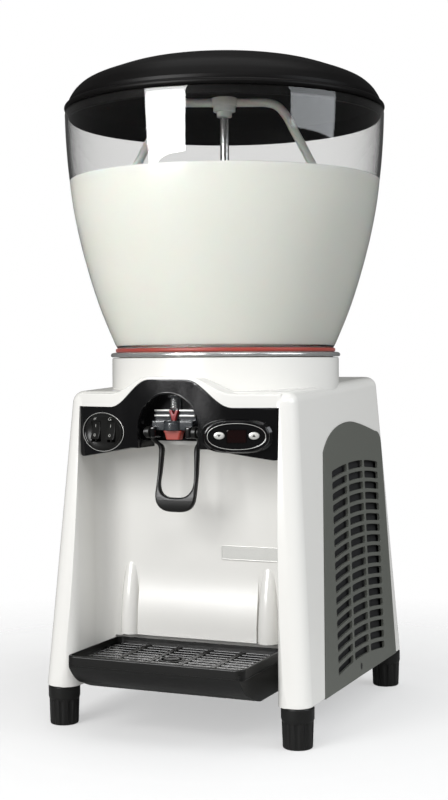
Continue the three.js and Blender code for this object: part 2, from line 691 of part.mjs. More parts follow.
function mainsInlet() {
  const front = cover.proud;
  const face = slab(roundedShape(inlet.halfWidth, inlet.halfHeight, inlet.flange),
    front - cover.thick - inlet.flange, front);
  const socket = slab(roundedShape(inlet.cavityHalfWidth + inlet.flange,
    inlet.cavityHalfHeight + inlet.flange, inlet.flange),
    front - inlet.depth, front);
  const cavity = slab(roundedShape(inlet.cavityHalfWidth, inlet.cavityHalfHeight, inlet.flange),
    front - inlet.cavityDepth, front + overrun);
  const pins = [-1, 0, 1].map((i) => block(i * inlet.pinSpread - inlet.pinHalf,
    i * inlet.pinSpread + inlet.pinHalf,
    -inlet.pinHeight, inlet.pinHeight, front - inlet.cavityDepth - inlet.flange, front - inlet.flange));
  return ontoRear(join(cut(join(face, socket), cavity), ...pins).translate(-inlet.x, upRear(inlet.z), 0));
}

function casingShell() {
  const neck = rod(casing.neckRadius, casing.ledgeZ, casing.neckTopZ, wide);
  const outer = join(bodySolid(0), hoodSolid(0, bay.ceilingZ), neck);
  const bayHole = cut(baySolid(0), apronSolid(), gussetSolid(-1), gussetSolid(1));
  const inside = cut(bodySolid(casing.wall, casing.bottomZ - overrun), baySolid(casing.wall));
  const hollow = cut(join(inside, hoodSolid(fascia.lip, bay.ceilingZ + casing.wall)), neck);
  const neckBore = rod(casing.neckRadius - casing.wall, casing.ledgeZ + casing.ledgeThick,
    casing.neckTopZ + overrun, wide);
  const ledgeBore = rod(casing.ledgeRadius, casing.ledgeZ - overrun, casing.neckTopZ, wide);
  const mouthHalf = bay.halfWidth - fascia.lip;
  const mouth = block(-mouthHalf, mouthHalf, fascia.middleY, bay.ceilingFrontY, bay.ceilingZ - overrun,
    bay.ceilingZ + casing.wall + overrun);
  const nearY = fascia.middleY - overrun;
  const seat = cut(standing(fasciaShape(gap), nearY, hood.backY), bend(fascia.thick + gap));
  const window = cut(standing(fasciaShape(-fascia.lip), nearY, hood.backY),
    bend(fascia.thick + gap + fascia.lipThick + gap));
  const panelHole = panelSeat();
  const rearWindow = ontoRear(coverSlab(-cover.windowInset, -casing.wall - overrun, overrun));
  return cut(outer, bayHole, hollow, neckBore, ledgeBore, mouth, seat, window, panelHole,
    mirrorX(panelHole),
    rearWindow, ...[-1, 1].map(tongueHole));
}

// A slot in the foot of the bay's back wall, for a tongue of the drip tray
function tongueHole(side) {
  const x = side * tray.tongueX;
  const half = tray.tongueWidth / 2 + gap;
  const low = casing.bottomZ + base.thick;
  const wallBack = bay.backY + bay.sillDepth + casing.wall + overrun;
  return block(x - half, x + half, bay.backY, wallBack, low - gap,
    low + gap + tray.tongueHeight + gap + gap);
}

function basePlate() {
  const whole = bodySolid(casing.wall + gap, casing.bottomZ);
  const sheet = meet(whole, block(-casing.halfWidthBottom, casing.halfWidthBottom, casing.frontBottomY,
    casing.rearBottomY, casing.bottomZ, casing.bottomZ + base.thick));
  const holes = footPlaces.map(([, x, y]) => rod(foot.studRadius + gap, casing.bottomZ - overrun,
    casing.bottomZ + base.thick + overrun, tiny).translate(x, y, 0));
  return cut(sheet, baySolid(casing.wall + gap), ...holes);
}

// Fascia and what it carries
function fasciaSolid() {
  const face = meet(standing(fasciaShape(0), fascia.middleY - overrun, hood.backY),
    cut(bend(0), bend(fascia.thick)));
  const half = fascia.openingHalf;
  const opening = standing(tunnelShape(half, fascia.openingTopZ, lowZ), fascia.middleY - overrun,
    fascia.linerBackY, dishSegments);
  const wall = fascia.linerWall;
  const backY = fascia.linerBackY + fascia.linerBack;
  const liner = meet(standing(tunnelShape(half + wall, fascia.openingTopZ + wall, fascia.innerBottomZ),
    fascia.middleY - overrun, backY, dishSegments), bend(0));
  const closeY = bay.ceilingFrontY - gap;
  const strip = (rise) => shapeOf([...fasciaBottom(0),
    [fascia.halfWidth - fascia.lip - gap, fascia.endBottomZ + rise], [fascia.innerX,
      fascia.innerBottomZ + rise],
    [-fascia.innerX, fascia.innerBottomZ + rise], [fascia.lip + gap - fascia.halfWidth,
      fascia.endBottomZ + rise]]);
  const floor = meet(standing(strip(fascia.returnThick), fascia.middleY - overrun, closeY),
    bend(fascia.thick / 2));
  const stripHalf = bay.halfWidth - fascia.lip - gap;
  const upstand = meet(standing(shapeOf([...fasciaBottom(0), [stripHalf, bay.ceilingZ + gap],
    [-stripHalf, bay.ceilingZ + gap]]),
    closeY - fascia.returnThick, closeY), block(-stripHalf, stripHalf, fascia.middleY, 0, lowZ, highZ));
  const trimmedFloor = meet(floor, block(-stripHalf, stripHalf, fascia.middleY, 0, lowZ, highZ));
  const spigotHole = rodAlongY(tap.spigotRadius + gap, fascia.linerBackY - overrun, backY + overrun)
    .translate(0, 0, tap.spigotZ);
  const dishHole = onFascia(switchPlate, standing(ellipseShape(switchPlate.halfWidth,
    switchPlate.halfHeight),
    -overrun, switchPlate.depth + gap, dishSegments));
  const podSeat = onFascia(pod, standing(podShape(1, gap), -overrun, pod.sunk + gap));
  const podHole = onFascia(pod, standing(podShape(pod.faceShare, -pod.wall), -overrun,
    fascia.thick + overrun));
  return cut(join(face, liner, trimmedFloor, upstand), opening, spigotHole, dishHole, podSeat, podHole);
}

// Puts a piece drawn about the origin on the curved front, with Y as the depth behind it
function onFascia({ x, z }, geometry) {
  const angle = Math.asin(x / fascia.radius);
  const y = arcCentreY - fascia.radius * Math.cos(angle);
  return geometry.clone().rotateZ(angle).translate(x, y, z);
}

// A squarish oval
function podShape(share, grow) {
  const points = [];
  for (let i = 0; i < pod.points; i += 1) {
    const angle = 2 * Math.PI * i / pod.points;
    const c = Math.cos(angle);
    const s = Math.sin(angle);
    const reach = (Math.abs(c) ** pod.squareness + Math.abs(s) ** pod.squareness) ** (-1 / pod.squareness);
    points.push([(pod.halfWidth * share + grow) * reach * c, (pod.halfHeight * share + grow) * reach * s]);
  }
  return shapeOf(points);
}

function switchDish() {
  const outer = standing(ellipseShape(switchPlate.halfWidth - gap, switchPlate.halfHeight - gap),
    -switchPlate.proud, switchPlate.depth, dishSegments);
  const dish = standing(ellipseShape(switchPlate.halfWidth - switchPlate.rim,
    switchPlate.halfHeight - switchPlate.rim),
    -switchPlate.proud - overrun, switchPlate.dishDepth, dishSegments);
  const windows = [-1, 1].map((side) => block(side * rocker.spread - rocker.width / 2 - gap,
    side * rocker.spread + rocker.width / 2 + gap, 0, switchPlate.depth + overrun,
    -rocker.height / 2 - rocker.windowPlay, rocker.height / 2 + rocker.windowPlay));
  return onFascia(switchPlate, cut(outer, dish, ...windows));
}

function rockerSolid(side) {
  const half = rocker.height / 2;
  const outline = shapeOf([
    [rocker.crestDepth, half], [rocker.dipDepth, 0], [rocker.crestDepth, -half],
    [rocker.backDepth, -rocker.backHalf], [rocker.backDepth, rocker.backHalf],
  ]);
  const shape = sideways(outline, -rocker.width / 2, rocker.width / 2)
    .translate(0, -rocker.pivotDepth, 0).rotateX(-rocker.tilt).translate(side * rocker.spread,
      rocker.pivotDepth, 0);
  return onFascia(switchPlate, shape);
}

function switchBody(side) {
  const x = side * rocker.spread;
  const half = rocker.width / 2 + gap;
  const height = rocker.height / 2 + rocker.windowPlay;
  const front = switchPlate.depth + gap;
  const shell = block(x - half - rocker.bodyWall, x + half + rocker.bodyWall, front,
    front + rocker.bodyDepth,
    -height - rocker.bodyWall, height + rocker.bodyWall);
  const cavity = block(x - half, x + half, front - overrun, front + rocker.cavityDepth, -height, height);
  return onFascia(switchPlate, cut(shell, cavity));
}

const podFaceY = -pod.proud + pod.recessDepth;

function podBezel() {
  const ring = (share, y) => podShape(share, 0).getPoints().map(({ x, y: z }) => [x, y, z]);
  const edge = (1 + pod.faceShare) / 2;
  const outer = loft([ring(1, pod.sunk), ring(1, -pod.proud * edge / 2),
    ring(edge, -pod.proud + pod.recessDepth / 2),
    ring(pod.faceShare, -pod.proud)]);
  const cavity = standing(podShape(pod.faceShare, -pod.wall), podFaceY + pod.wall, pod.sunk + overrun);
  const recess = standing(ellipseShape(pod.recessHalfWidth, pod.recessHalfHeight), -pod.proud - overrun,
    podFaceY, dishSegments);
  const holes = [-1, 1].map((side) => standing(ellipseShape(button.halfWidth + gap,
    button.halfHeight + gap),
    -pod.proud, pod.sunk).translate(side * button.spread, 0, 0));
  const windowHole = block(-ledWindow.halfWidth - gap, ledWindow.halfWidth + gap, -pod.proud, pod.sunk,
    -ledWindow.halfHeight - gap, ledWindow.halfHeight + gap);
  return onFascia(pod, cut(outer, cavity, recess, ...holes, windowHole));
}

function podButton(side) {
  const solid = standing(ellipseShape(button.halfWidth, button.halfHeight), podFaceY - button.proud,
    podFaceY - button.proud + button.length);
  return onFascia(pod, solid.translate(side * button.spread, 0, 0));
}

function podWindow() {
  return onFascia(pod, block(-ledWindow.halfWidth, ledWindow.halfWidth, podFaceY + gap,
    podFaceY + pod.wall + ledWindow.thick,
    -ledWindow.halfHeight, ledWindow.halfHeight));
}

function podBoard() {
  const front = podFaceY - button.proud + button.length + button.travel + gap;
  const solid = standing(podShape(pod.faceShare, -pod.wall - gap), front, front + displayBoard.thick);
  return onFascia(pod, solid);
}

function badgePlate() {
  return standing(roundedShape(badge.width / 2, badge.height / 2, badge.cornerRadius),
    bay.backY - gap - badge.thick,
    bay.backY - gap).translate(badge.x, 0, badge.z);
}

// Tap
function tapBody() {
  const rear = fascia.linerBackY - gap;
  const main = block(-tap.halfWidth, tap.halfWidth, tap.frontY, rear, tap.bottomZ, tap.shoulderZ);
  const back = block(-tap.halfWidth, tap.halfWidth, tap.plateY, rear, tap.bottomZ, tap.topZ);
  const ribs = [0, 1].map((i) => {
    const top = tap.topZ - i * tap.ribPitch;
    return block(-tap.halfWidth, tap.halfWidth, tap.plateY - tap.ribDepth, rear, top - tap.ribHeight, top);
  });
  const slot = block(-tap.slotHalf, tap.slotHalf, tap.frontY, tap.plateY, tap.shoulderZ,
    tap.topZ + overrun);
  const bulge = loft([
    ringPoints(0, tap.domeY, tap.bottomZ, tap.domeHalf, small),
    ringPoints(0, tap.domeY, tap.shoulderZ - tap.domeRise, tap.domeHalf, small),
    ringPoints(0, tap.domeTopY, tap.shoulderZ, tap.domeTopHalf, small),
  ]);
  const lugTopZ = handle.pivotZ + handle.bossRadius;
  const lug = block(tap.halfWidth - tap.lugWidth, tap.halfWidth, tap.lugFrontY, rear, tap.lugBottomZ,
    lugTopZ);
  const bridgeTopZ = tap.bridgeZ + tap.bridgeThick;
  const root = block(-tap.bridgeHalf, tap.bridgeHalf, rear - tap.bridgeRoot, rear, tap.bottomZ, bridgeTopZ);
  const bridgeFront = tap.stemY - spring.radius - spring.wire;
  const bridge = block(-tap.bridgeHalf, tap.bridgeHalf, bridgeFront, rear, tap.bridgeZ, bridgeTopZ);
  const spigot = rodAlongY(tap.spigotRadius, rear - gap, rear + tap.spigotLength)
    .translate(0, 0, tap.spigotZ);
  const chamber = rod(tap.boreRadius, tap.bottomZ - overrun, tap.chamberTopZ).translate(0, tap.stemY, 0);
  const guide = rod(plunger.stemRadius + gap, tap.bottomZ, tap.shoulderZ + overrun, tiny)
    .translate(0, tap.stemY, 0);
  const channelZ = tap.bottomZ + (tap.chamberTopZ - tap.bottomZ) / 2;
  const channel = rodAlongY(tap.channelRadius, tap.stemY, rear + tap.spigotLength + overrun, tiny)
    .translate(0, 0, channelZ);
  const bore = rodAlongX(handle.pinRadius + gap, tap.halfWidth - tap.lugWidth - overrun,
    tap.halfWidth + overrun, tiny)
    .translate(0, handle.pivotY, handle.pivotZ);
  const solid = join(main, back, ...ribs, bulge, lug, mirrorX(lug), root, bridge, spigot);
  return cut(solid, slot, chamber, guide, channel, bore, mirrorX(bore));
}

function tapNozzle() {
  const top = tap.bottomZ - gap;
  const bottom = top - nozzle.height;
  const ring = (half, z) => [[-half, -nozzle.depth / 2], [half, -nozzle.depth / 2],
    [half, nozzle.depth / 2],
    [-half, nozzle.depth / 2]].map(([x, y]) => [x, tap.stemY + y, z]);
  const outer = loft([ring(nozzle.bottomHalf, bottom), ring(nozzle.topHalf, top)]);
  return cut(outer, rod(nozzle.boreRadius, bottom - overrun, top + overrun, small).translate(0,
    tap.stemY, 0));
}

function tapPlunger() {
  const head = standing(shapeOf([
    [-plunger.headHalf, plunger.headTopZ], [0 - plunger.stemRadius, plunger.headBottomZ],
    [plunger.stemRadius, plunger.headBottomZ], [plunger.headHalf, plunger.headTopZ],
  ]), -plunger.headThick / 2, plunger.headThick / 2);
  const sealZ = tap.bottomZ + gap;
  const stem = rod(plunger.stemRadius, sealZ, plunger.headTopZ - gap, tiny);
  const seal = rod(plunger.sealRadius, sealZ, sealZ + plunger.sealHeight, small);
  return join(head, stem, seal).translate(0, tap.stemY, 0);
}

// The least gap between two curls, measured on points along the wire
function springGap(points, perTurn) {
  let least = Infinity;
  points.forEach((a, i) => {
    for (const b of points.slice(i + perTurn / 2)) least = Math.min(least, a.distanceTo(b));
  });
  return least - 2 * spring.wire;
}

function tapSpring() {
  const low = plunger.headTopZ + gap + spring.wire;
  const high = tap.bridgeZ - gap - spring.wire;
  const count = spring.turns * spring.stepsPerTurn;
  const points = Array.from({ length: count + 1 }, (_, i) => {
    const angle = 2 * Math.PI * i / spring.stepsPerTurn;
    const z = low + (high - low) * i / count;
    return new THREE.Vector3(spring.radius * Math.cos(angle),
      tap.stemY + spring.radius * Math.sin(angle), z);
  });
  const curve = new THREE.CatmullRomCurve3(points, false, 'centripetal');
  const least = springGap(curve.getSpacedPoints(count * spring.finer), spring.stepsPerTurn * spring.finer);
  console.log(`tap_spring: the least gap between its curls is ${least.toFixed(spring.finer)} mm`);
  return tube(curve, spring.wire, spring.sides, count);
}

function handleSolid() {
  const inner = tap.halfWidth + handle.play;
  const outer = inner + handle.armWidth;
  const low = handle.bottomHalf;
  const lowInner = low - handle.armWidth;
  const shape = new THREE.Shape();
  const straightZ = tap.lugBottomZ - handle.pinRadius;
  shape.moveTo(-outer, handle.pivotZ);
  shape.lineTo(-outer, straightZ);
  shape.lineTo(-low, handle.kneeZ);
  shape.lineTo(-low, handle.bottomZ + handle.outerCorner);
  shape.quadraticCurveTo(-low, handle.bottomZ, handle.outerCorner - low, handle.bottomZ);
  shape.lineTo(low - handle.outerCorner, handle.bottomZ);
  shape.quadraticCurveTo(low, handle.bottomZ, low, handle.bottomZ + handle.outerCorner);
  shape.lineTo(low, handle.kneeZ);
  shape.lineTo(outer, straightZ);
  shape.lineTo(outer, handle.pivotZ);
  shape.lineTo(inner, handle.pivotZ);
  shape.lineTo(inner, straightZ);
  shape.lineTo(lowInner, handle.kneeZ);
  shape.lineTo(lowInner, handle.innerBottomZ + handle.innerCorner);
  shape.quadraticCurveTo(lowInner, handle.innerBottomZ, lowInner - handle.innerCorner, handle.innerBottomZ);
  shape.lineTo(handle.innerCorner - lowInner, handle.innerBottomZ);
  shape.quadraticCurveTo(-lowInner, handle.innerBottomZ, -lowInner,
    handle.innerBottomZ + handle.innerCorner);
  shape.lineTo(-lowInner, handle.kneeZ);
  shape.lineTo(-inner, straightZ);
  shape.lineTo(-inner, handle.pivotZ);
  const loop = standing(shape, -handle.thick / 2, handle.thick / 2).translate(0, handle.pivotY, 0);
  const bosses = [-1, 1].map((side) => rodAlongX(handle.bossRadius, Math.min(side * inner, side * outer),
    Math.max(side * inner, side * outer), small).translate(0, handle.pivotY, handle.pivotZ));
  const bore = rodAlongX(handle.pinRadius + gap, -outer - overrun, outer + overrun, tiny)
    .translate(0, handle.pivotY, handle.pivotZ);
  return cut(join(loop, ...bosses), bore);
}

function handlePin(side) {
  const inner = tap.halfWidth - tap.lugWidth + gap;
  const face = tap.halfWidth + handle.play + handle.armWidth + gap;
  const shank = rodAlongX(handle.pinRadius, inner, face + handle.pinHead, tiny);
  const head = rodAlongX(handle.pinRadius * 2, face, face + handle.pinHead, small);
  const pin = join(shank, head).translate(0, handle.pivotY, handle.pivotZ);
  return side > 0 ? pin : mirrorX(pin);
}

function outletPipe() {
  const endY = fascia.linerBackY - gap + tap.spigotLength + gap;
  const topZ = plate.z + plate.thick;
  const at = (start, end) => bentPath([[0, pipe.y, start], [0, pipe.y, tap.spigotZ],
    [0, end, tap.spigotZ]], pipe.bend);
  const outer = tube(at(topZ, endY), pipe.radius, pipe.sides, pipe.steps);
  const inner = tube(at(topZ + overrun, endY - overrun), pipe.radius - pipe.wall, pipe.sides, pipe.steps);
  return cut(outer, inner);
}

// Drip tray, grid and float
const trayY = (tray.frontY + tray.rearY) / 2;
const trayHalfDepth = (tray.rearY - tray.frontY) / 2;

function trayProfile(inset, topZ) {
  const bandZ = tray.topZ - tray.bandHeight;
  const front = tray.frontY + inset;
  const middleY = (front + tray.kneeY) / 2;
  const middleZ = (bandZ + tray.bottomZ) / 2 - tray.bellyBulge + inset;
  return shapeOf([
    [front, topZ], [front, bandZ + inset / 2], [middleY, middleZ], [tray.kneeY + inset / 2,
      tray.bottomZ + inset],
    [tray.rearY - inset, tray.bottomZ + inset], [tray.rearY - inset, topZ],
  ]);
}

function dripTray() {
  const bellyHalf = tray.halfWidth - tray.bellyInset;
  const bandZ = tray.topZ - tray.bandHeight;
  const band = slab(roundedShape(tray.halfWidth, trayHalfDepth, tray.sideCorner), bandZ,
    tray.topZ).translate(0, trayY, 0);
  const belly = sideways(trayProfile(0, bandZ + gap), -bellyHalf, bellyHalf);
  const inner = sideways(trayProfile(tray.wall, tray.topZ + overrun), tray.wall - bellyHalf,
    bellyHalf - tray.wall);
  const ledgeZ = grid.topZ - grid.thick - gap;
  const mouth = slab(roundedShape(tray.halfWidth - tray.wall, trayHalfDepth - tray.wall,
    tray.sideCorner - tray.wall),
    ledgeZ, tray.topZ + overrun).translate(0, trayY, 0);
  const well = meet(inner, slab(roundedShape(tray.halfWidth, trayHalfDepth - tray.wall - tray.ledge,
    tray.sideCorner),
    tray.bottomZ, tray.topZ + overrun).translate(0, trayY, 0));
  const low = casing.bottomZ + base.thick + gap;
  const tongues = [-1, 1].map((side) => block(side * tray.tongueX - tray.tongueWidth / 2,
    side * tray.tongueX + tray.tongueWidth / 2,
    tray.rearY - tray.wall / 2, tray.rearY + tray.tongueLength, low, low + tray.tongueHeight));
  const floorZ = tray.bottomZ + tray.wall;
  const post = rod(tray.postRadius, floorZ, tray.postTopZ, tiny).translate(0, float.y, 0);
  const collar = rod(tray.collarRadius, floorZ, float.bottomZ - gap, tiny).translate(0, float.y, 0);
  return join(cut(join(band, belly), well, mouth), ...tongues, post, collar);
}

function dripGrid() {
  const halfWidth = tray.halfWidth - tray.wall - gap;
  const halfDepth = trayHalfDepth - tray.wall - gap;
  const low = grid.topZ - grid.thick;
  const sheet = slab(roundedShape(halfWidth, halfDepth, tray.sideCorner - tray.wall), low, grid.topZ);
  const pitchX = (2 * (halfWidth - grid.edge) + grid.barX) / grid.columns;
  const pitchY = (2 * (halfDepth - grid.edge) + grid.barY) / grid.rows;
  const holes = [];
  for (let column = 0; column < grid.columns; column += 1) {
    for (let row = 0; row < grid.rows; row += 1) {
      const x = grid.edge - halfWidth + column * pitchX;
      const y = grid.edge - halfDepth + row * pitchY;
      holes.push(block(x, x + pitchX - grid.barX, y, y + pitchY - grid.barY, low - overrun,
        grid.topZ + overrun));
    }
  }
  const at = float.y - trayY;
  const collar = rod(grid.holeRadius + grid.collarWidth, low, grid.topZ, medium).translate(0, at, 0);
  const hole = rod(grid.holeRadius, low - overrun, grid.topZ + overrun, medium).translate(0, at, 0);
  return cut(join(cut(sheet, ...holes), collar), hole).translate(0, trayY, 0);
}

function trayFloat() {
  const bottom = float.bottomZ;
  const boreTop = tray.postTopZ + gap;
  const capTop = grid.topZ + float.capProud;
  return turnedSolid([
    [0, boreTop], [float.boreRadius, boreTop], [float.boreRadius, bottom], [float.bellRadius, bottom],
    [float.bellRadius, bottom + float.bellHeight], [float.stemRadius, bottom + float.bellHeight],
    [float.stemRadius, capTop - float.capThick], [float.capRadius, capTop - float.capThick],
    [float.capRadius, capTop - gap], [float.capRadius - gap, capTop], [0, capTop],
  ], small).translate(0, float.y, 0);
}

// Bowl, gasket and lid
function bowlSolid() {
  const height = bowl.rimZ - bowl.footZ;
  const outer = bowlOutlineShares.map(([r, h]) => [bowl.rimRadius * r, bowl.footZ + height * h]);
  const inner = outer.slice(1).map(([r, z]) => [r - bowl.wall, z]).reverse();
  return turned([
    ...outer, ...inner, [bowlFoot.outer - bowl.wall, bowl.footZ + bowl.footThick],
    [bowlFoot.inner, bowl.footZ + bowl.footThick], [bowlFoot.inner, bowl.footZ],
  ], wide);
}

function gasketSolid() {
  const low = plate.z + plate.thick + gap;
  const high = bowl.footZ - gap;
  return turned([[gasket.outerRadius, low], [gasket.outerRadius, high], [gasket.innerRadius, high],
    [gasket.innerRadius, low]], wide);
}

function lidSolid() {
  const rise = lid.topZ - lid.lipZ;
  const outer = domeShares.map(([r, h]) => [lid.radius * r, lid.lipZ + rise * h]);
  const inner = outer.slice(lid.innerFrom).map(([r, z]) => [r - lid.domeWall, z - lid.wall]).reverse();
  const skirtZ = lid.lipZ - lid.skirtDepth;
  return turnedSolid([
    [0, lid.topZ - lid.wall], ...inner, [lid.skirtRadius - lid.wall,
      lid.lipZ], [lid.skirtRadius - lid.wall, skirtZ],
    [lid.skirtRadius, skirtZ], [lid.skirtRadius, lid.lipZ], [lid.radius - gap, lid.lipZ],
    [lid.radius, lid.lipZ + lid.lipHeight * lid.lipLowShare],
    [lid.radius - gap, lid.lipZ + lid.lipHeight * lid.lipHighShare],
    [lid.radius - lid.domeWall, lid.lipZ + lid.lipHeight], ...outer, [0, lid.topZ],
  ], wide);
}

// Cooling plate, coil, foam and stirrer drive
function coolingPlate() {
  const low = plate.z;
  const high = plate.z + plate.thick;
  const bead = plate.beadRadius;
  const beadLow = casing.neckTopZ + gap;
  const shoulderZ = dome.topZ - dome.shoulder;
  const slope = dome.slope;
  const bore = shaft.tubeRadius + gap;
  const solid = turned([
    [bore, dome.topZ - dome.wall], [dome.radius - dome.shoulder, dome.topZ - dome.wall],
    [dome.radius - dome.wall, shoulderZ], [dome.radius - dome.wall, low],
    [plate.radius - plate.thick, low], [plate.radius - plate.thick, beadLow], [plate.radius, beadLow],
    [bead, beadLow + plate.beadHeight * plate.beadLowShare],
    [bead, beadLow + plate.beadHeight * plate.beadHighShare], [plate.radius, beadLow + plate.beadHeight],
    [plate.radius - plate.thick, high], [dome.radius, high], [dome.radius, shoulderZ],
    [dome.radius - slope, dome.topZ - slope], [dome.radius - dome.shoulder, dome.topZ], [bore, dome.topZ],
  ], wide);
  const drain = rod(pipe.radius + gap, low - overrun, high + overrun, small).translate(0, pipe.y, 0);
  return cut(solid, drain);
}

function coolingCoil() {
  const radius = dome.radius - dome.wall - coil.play - coil.tube;
  const points = [[0, radius, coil.endZ], [0, radius, (coil.endZ + coil.bottomZ) / 2],
    [0, radius, coil.crossZ]];
  const count = coil.turns * coil.pointsPerTurn;
  for (let i = 1; i <= count; i += 1) {
    const angle = Math.PI / 2 + 2 * Math.PI * i / coil.pointsPerTurn;
    const z = coil.bottomZ + (coil.topZ - coil.bottomZ) * i / count;
    points.push([radius * Math.cos(angle), radius * Math.sin(angle), z]);
  }
  points.push([-coil.innerRadius / 2, coil.innerRadius, coil.topZ + 2 * coil.tube]);
  points.push([0, coil.innerRadius, (coil.topZ + coil.bottomZ) / 2]);
  points.push([0, coil.innerRadius, coil.bottomZ]);
  points.push([coil.returnX / 2, (coil.innerRadius + radius) / 2, coil.turnZ]);
  points.push([coil.returnX, radius, coil.dropZ]);
  points.push([coil.returnX, radius, coil.endZ]);
  return tube(smoothPath(points), coil.tube, coil.sides, coil.steps);
}

function foamCollar() {
  const low = casing.ledgeZ + casing.ledgeThick + gap;
  const high = plate.z - gap;
  const ring = turned([[foam.innerRadius, low], [foam.outerRadius, low], [foam.outerRadius, high],
    [foam.innerRadius, high]], medium);
  const channel = rod(pipe.radius + foam.pipePlay, low - overrun, high + overrun, small).translate(0,
    pipe.y, 0);
  return cut(ring, channel);
}

const bracketTopZ = casing.ledgeZ - gap;
const bracketLowZ = bracketTopZ - bracket.thick;

function driveBracket() {
  const strip = meet(rod(bracket.radius, bracketLowZ, bracketTopZ, medium),
    block(-bracket.radius, bracket.radius, -bracket.halfDepth, bracket.halfDepth, bracketLowZ,
      bracketTopZ));
  return cut(strip, rod(shaft.radius + gap, bracketLowZ - overrun, bracketTopZ + overrun, small));
}

function gearMotor() {
  const top = bracketLowZ - gap;
  const low = top - gearbox.height;
  const bx = block(-gearbox.halfWidth, gearbox.halfWidth, -gearbox.halfDepth, gearbox.halfDepth, low, top);
  const motor = rod(gearbox.motorRadius, low - gearbox.motorLength, low + overrun, medium);
  const bore = rod(shaft.radius + gap, top - gearbox.height / 2, top + overrun, tiny);
  return cut(join(bx, motor), bore);
}

function driveShaft() {
  const low = bracketLowZ - gap - gearbox.height / 2 + gap;
  return rod(shaft.radius, low, shaft.topZ, tiny);
}

function guideTube() {
  const low = bracketTopZ + gap;
  return turned([[shaft.tubeBore, low], [shaft.tubeRadius, low], [shaft.tubeRadius, shaft.tubeTopZ],
    [shaft.tubeBore, shaft.tubeTopZ]], tiny);
}

function stirrerSolid() {
  const bore = shaft.radius + gap;
  const waist = (stirrer.flangeRadius + stirrer.bossRadius) / 2;
  const boreTop = shaft.topZ + gap;
  const stepZ = (stirrer.flangeZ + stirrer.bossZ) / 2;
  const hub = turnedSolid([
    [0, boreTop], [bore, boreTop], [bore, stirrer.bossZ], [stirrer.bossRadius,
      stirrer.bossZ], [stirrer.bossRadius, stepZ],
    [waist, stepZ], [stirrer.flangeRadius, stirrer.flangeZ], [stirrer.flangeRadius, stirrer.topZ], [0,
      stirrer.topZ],
  ], small);
  const arm = tube(smoothPath([
    [waist, 0, stirrer.barZ], [stirrer.shoulder - stirrer.bend, 0, stirrer.barZ],
    [stirrer.shoulder, 0, stirrer.barZ - stirrer.dip],
    [stirrer.shoulder + stirrer.bend / 2, 0, stirrer.barZ - stirrer.bend],
    [stirrer.elbow, 0, stirrer.elbowZ], [stirrer.elbow + stirrer.dip, 0, stirrer.elbowZ - stirrer.elbowRun],
    [stirrer.elbow, 0, (stirrer.elbowZ + stirrer.footZ) / 2],
    [stirrer.elbow - stirrer.bend / 2, 0, stirrer.footZ + stirrer.bend + stirrer.bend],
    [stirrer.elbow - stirrer.bend - stirrer.dip, 0, stirrer.footZ], [stirrer.toe, 0, stirrer.footZ],
  ]), stirrer.barRadius, stirrer.sides, stirrer.steps);
  const armLeft = arm.clone().rotateZ(Math.PI);
  return join(hub, arm, armLeft).rotateZ(stirrer.azimuth);
}

// Cooling machinery
function compressorSolid() {
  const low = casing.bottomZ + base.thick + gap + compressor.mountHeight + gap;
  const potLow = low + compressor.footPlate - gap;
  const potTop = potLow + compressor.potHeight;
  const r = compressor.radius;
  const pot = turnedSolid([
    [0, potLow], [r * compressor.waistShare, potLow], [r, potLow + compressor.crown / 2],
    [r, potTop - compressor.crown], [r * compressor.waistShare, potTop - compressor.crown / 2], [r / 2,
      potTop], [0, potTop],
  ], medium);
  const half = compressor.footSpread / 2 + compressor.mountRadius + gap;
  const feet = block(-half, half, -half, half, low, low + compressor.footPlate);
  const stub = rod(compressor.stubRadius, potTop - compressor.crown, potTop + compressor.stubHeight, tiny)
    .translate(-r / 2, 0, 0);
  return join(pot, feet, stub).translate(compressor.x, compressor.y, 0);
}

function compressorMount(across, along) {
  const low = casing.bottomZ + base.thick + gap;
  return rod(compressor.mountRadius, low, low + compressor.mountHeight, tiny)
    .translate(compressor.x + across * compressor.footSpread / 2,
      compressor.y + along * compressor.footSpread / 2, 0);
}

function condenserSolid() {
  const low = casing.bottomZ + base.thick + gap;
  const x0 = condenser.x - condenser.thick / 2;
  const x1 = condenser.x + condenser.thick / 2;
  const y0 = condenser.y - condenser.halfLength;
  const y1 = condenser.y + condenser.halfLength;
  const top = low + condenser.height;
  const ends = [[y0, y0 + condenser.frame],
    [y1 - condenser.frame, y1]].map(([a, b]) => block(x0, x1, a, b, low, top));
  const pitch = condenser.height / (condenser.finCount + 1);
  const fins = Array.from({ length: condenser.finCount }, (_, i) => {
    const z = low + (i + 1) * pitch;
    return block(x0 + gap, x1 - gap, y0 + gap, y1 - gap, z - condenser.finThick / 2,
      z + condenser.finThick / 2);
  });
  const tubes = condenser.tubeRowShares.map((row) => {
    const z = low + row * pitch;
    return rodAlongY(condenser.tubeRadius, y0 + condenser.frame / 2, y1 - condenser.frame / 2, line.sides)
      .translate(condenser.x, 0, z);
  });
  return join(...ends, ...fins, ...tubes);
}

const fanZ = casing.bottomZ + base.thick + gap + condenser.height / 2;
const shroudX = condenser.x + condenser.thick / 2 + gap;

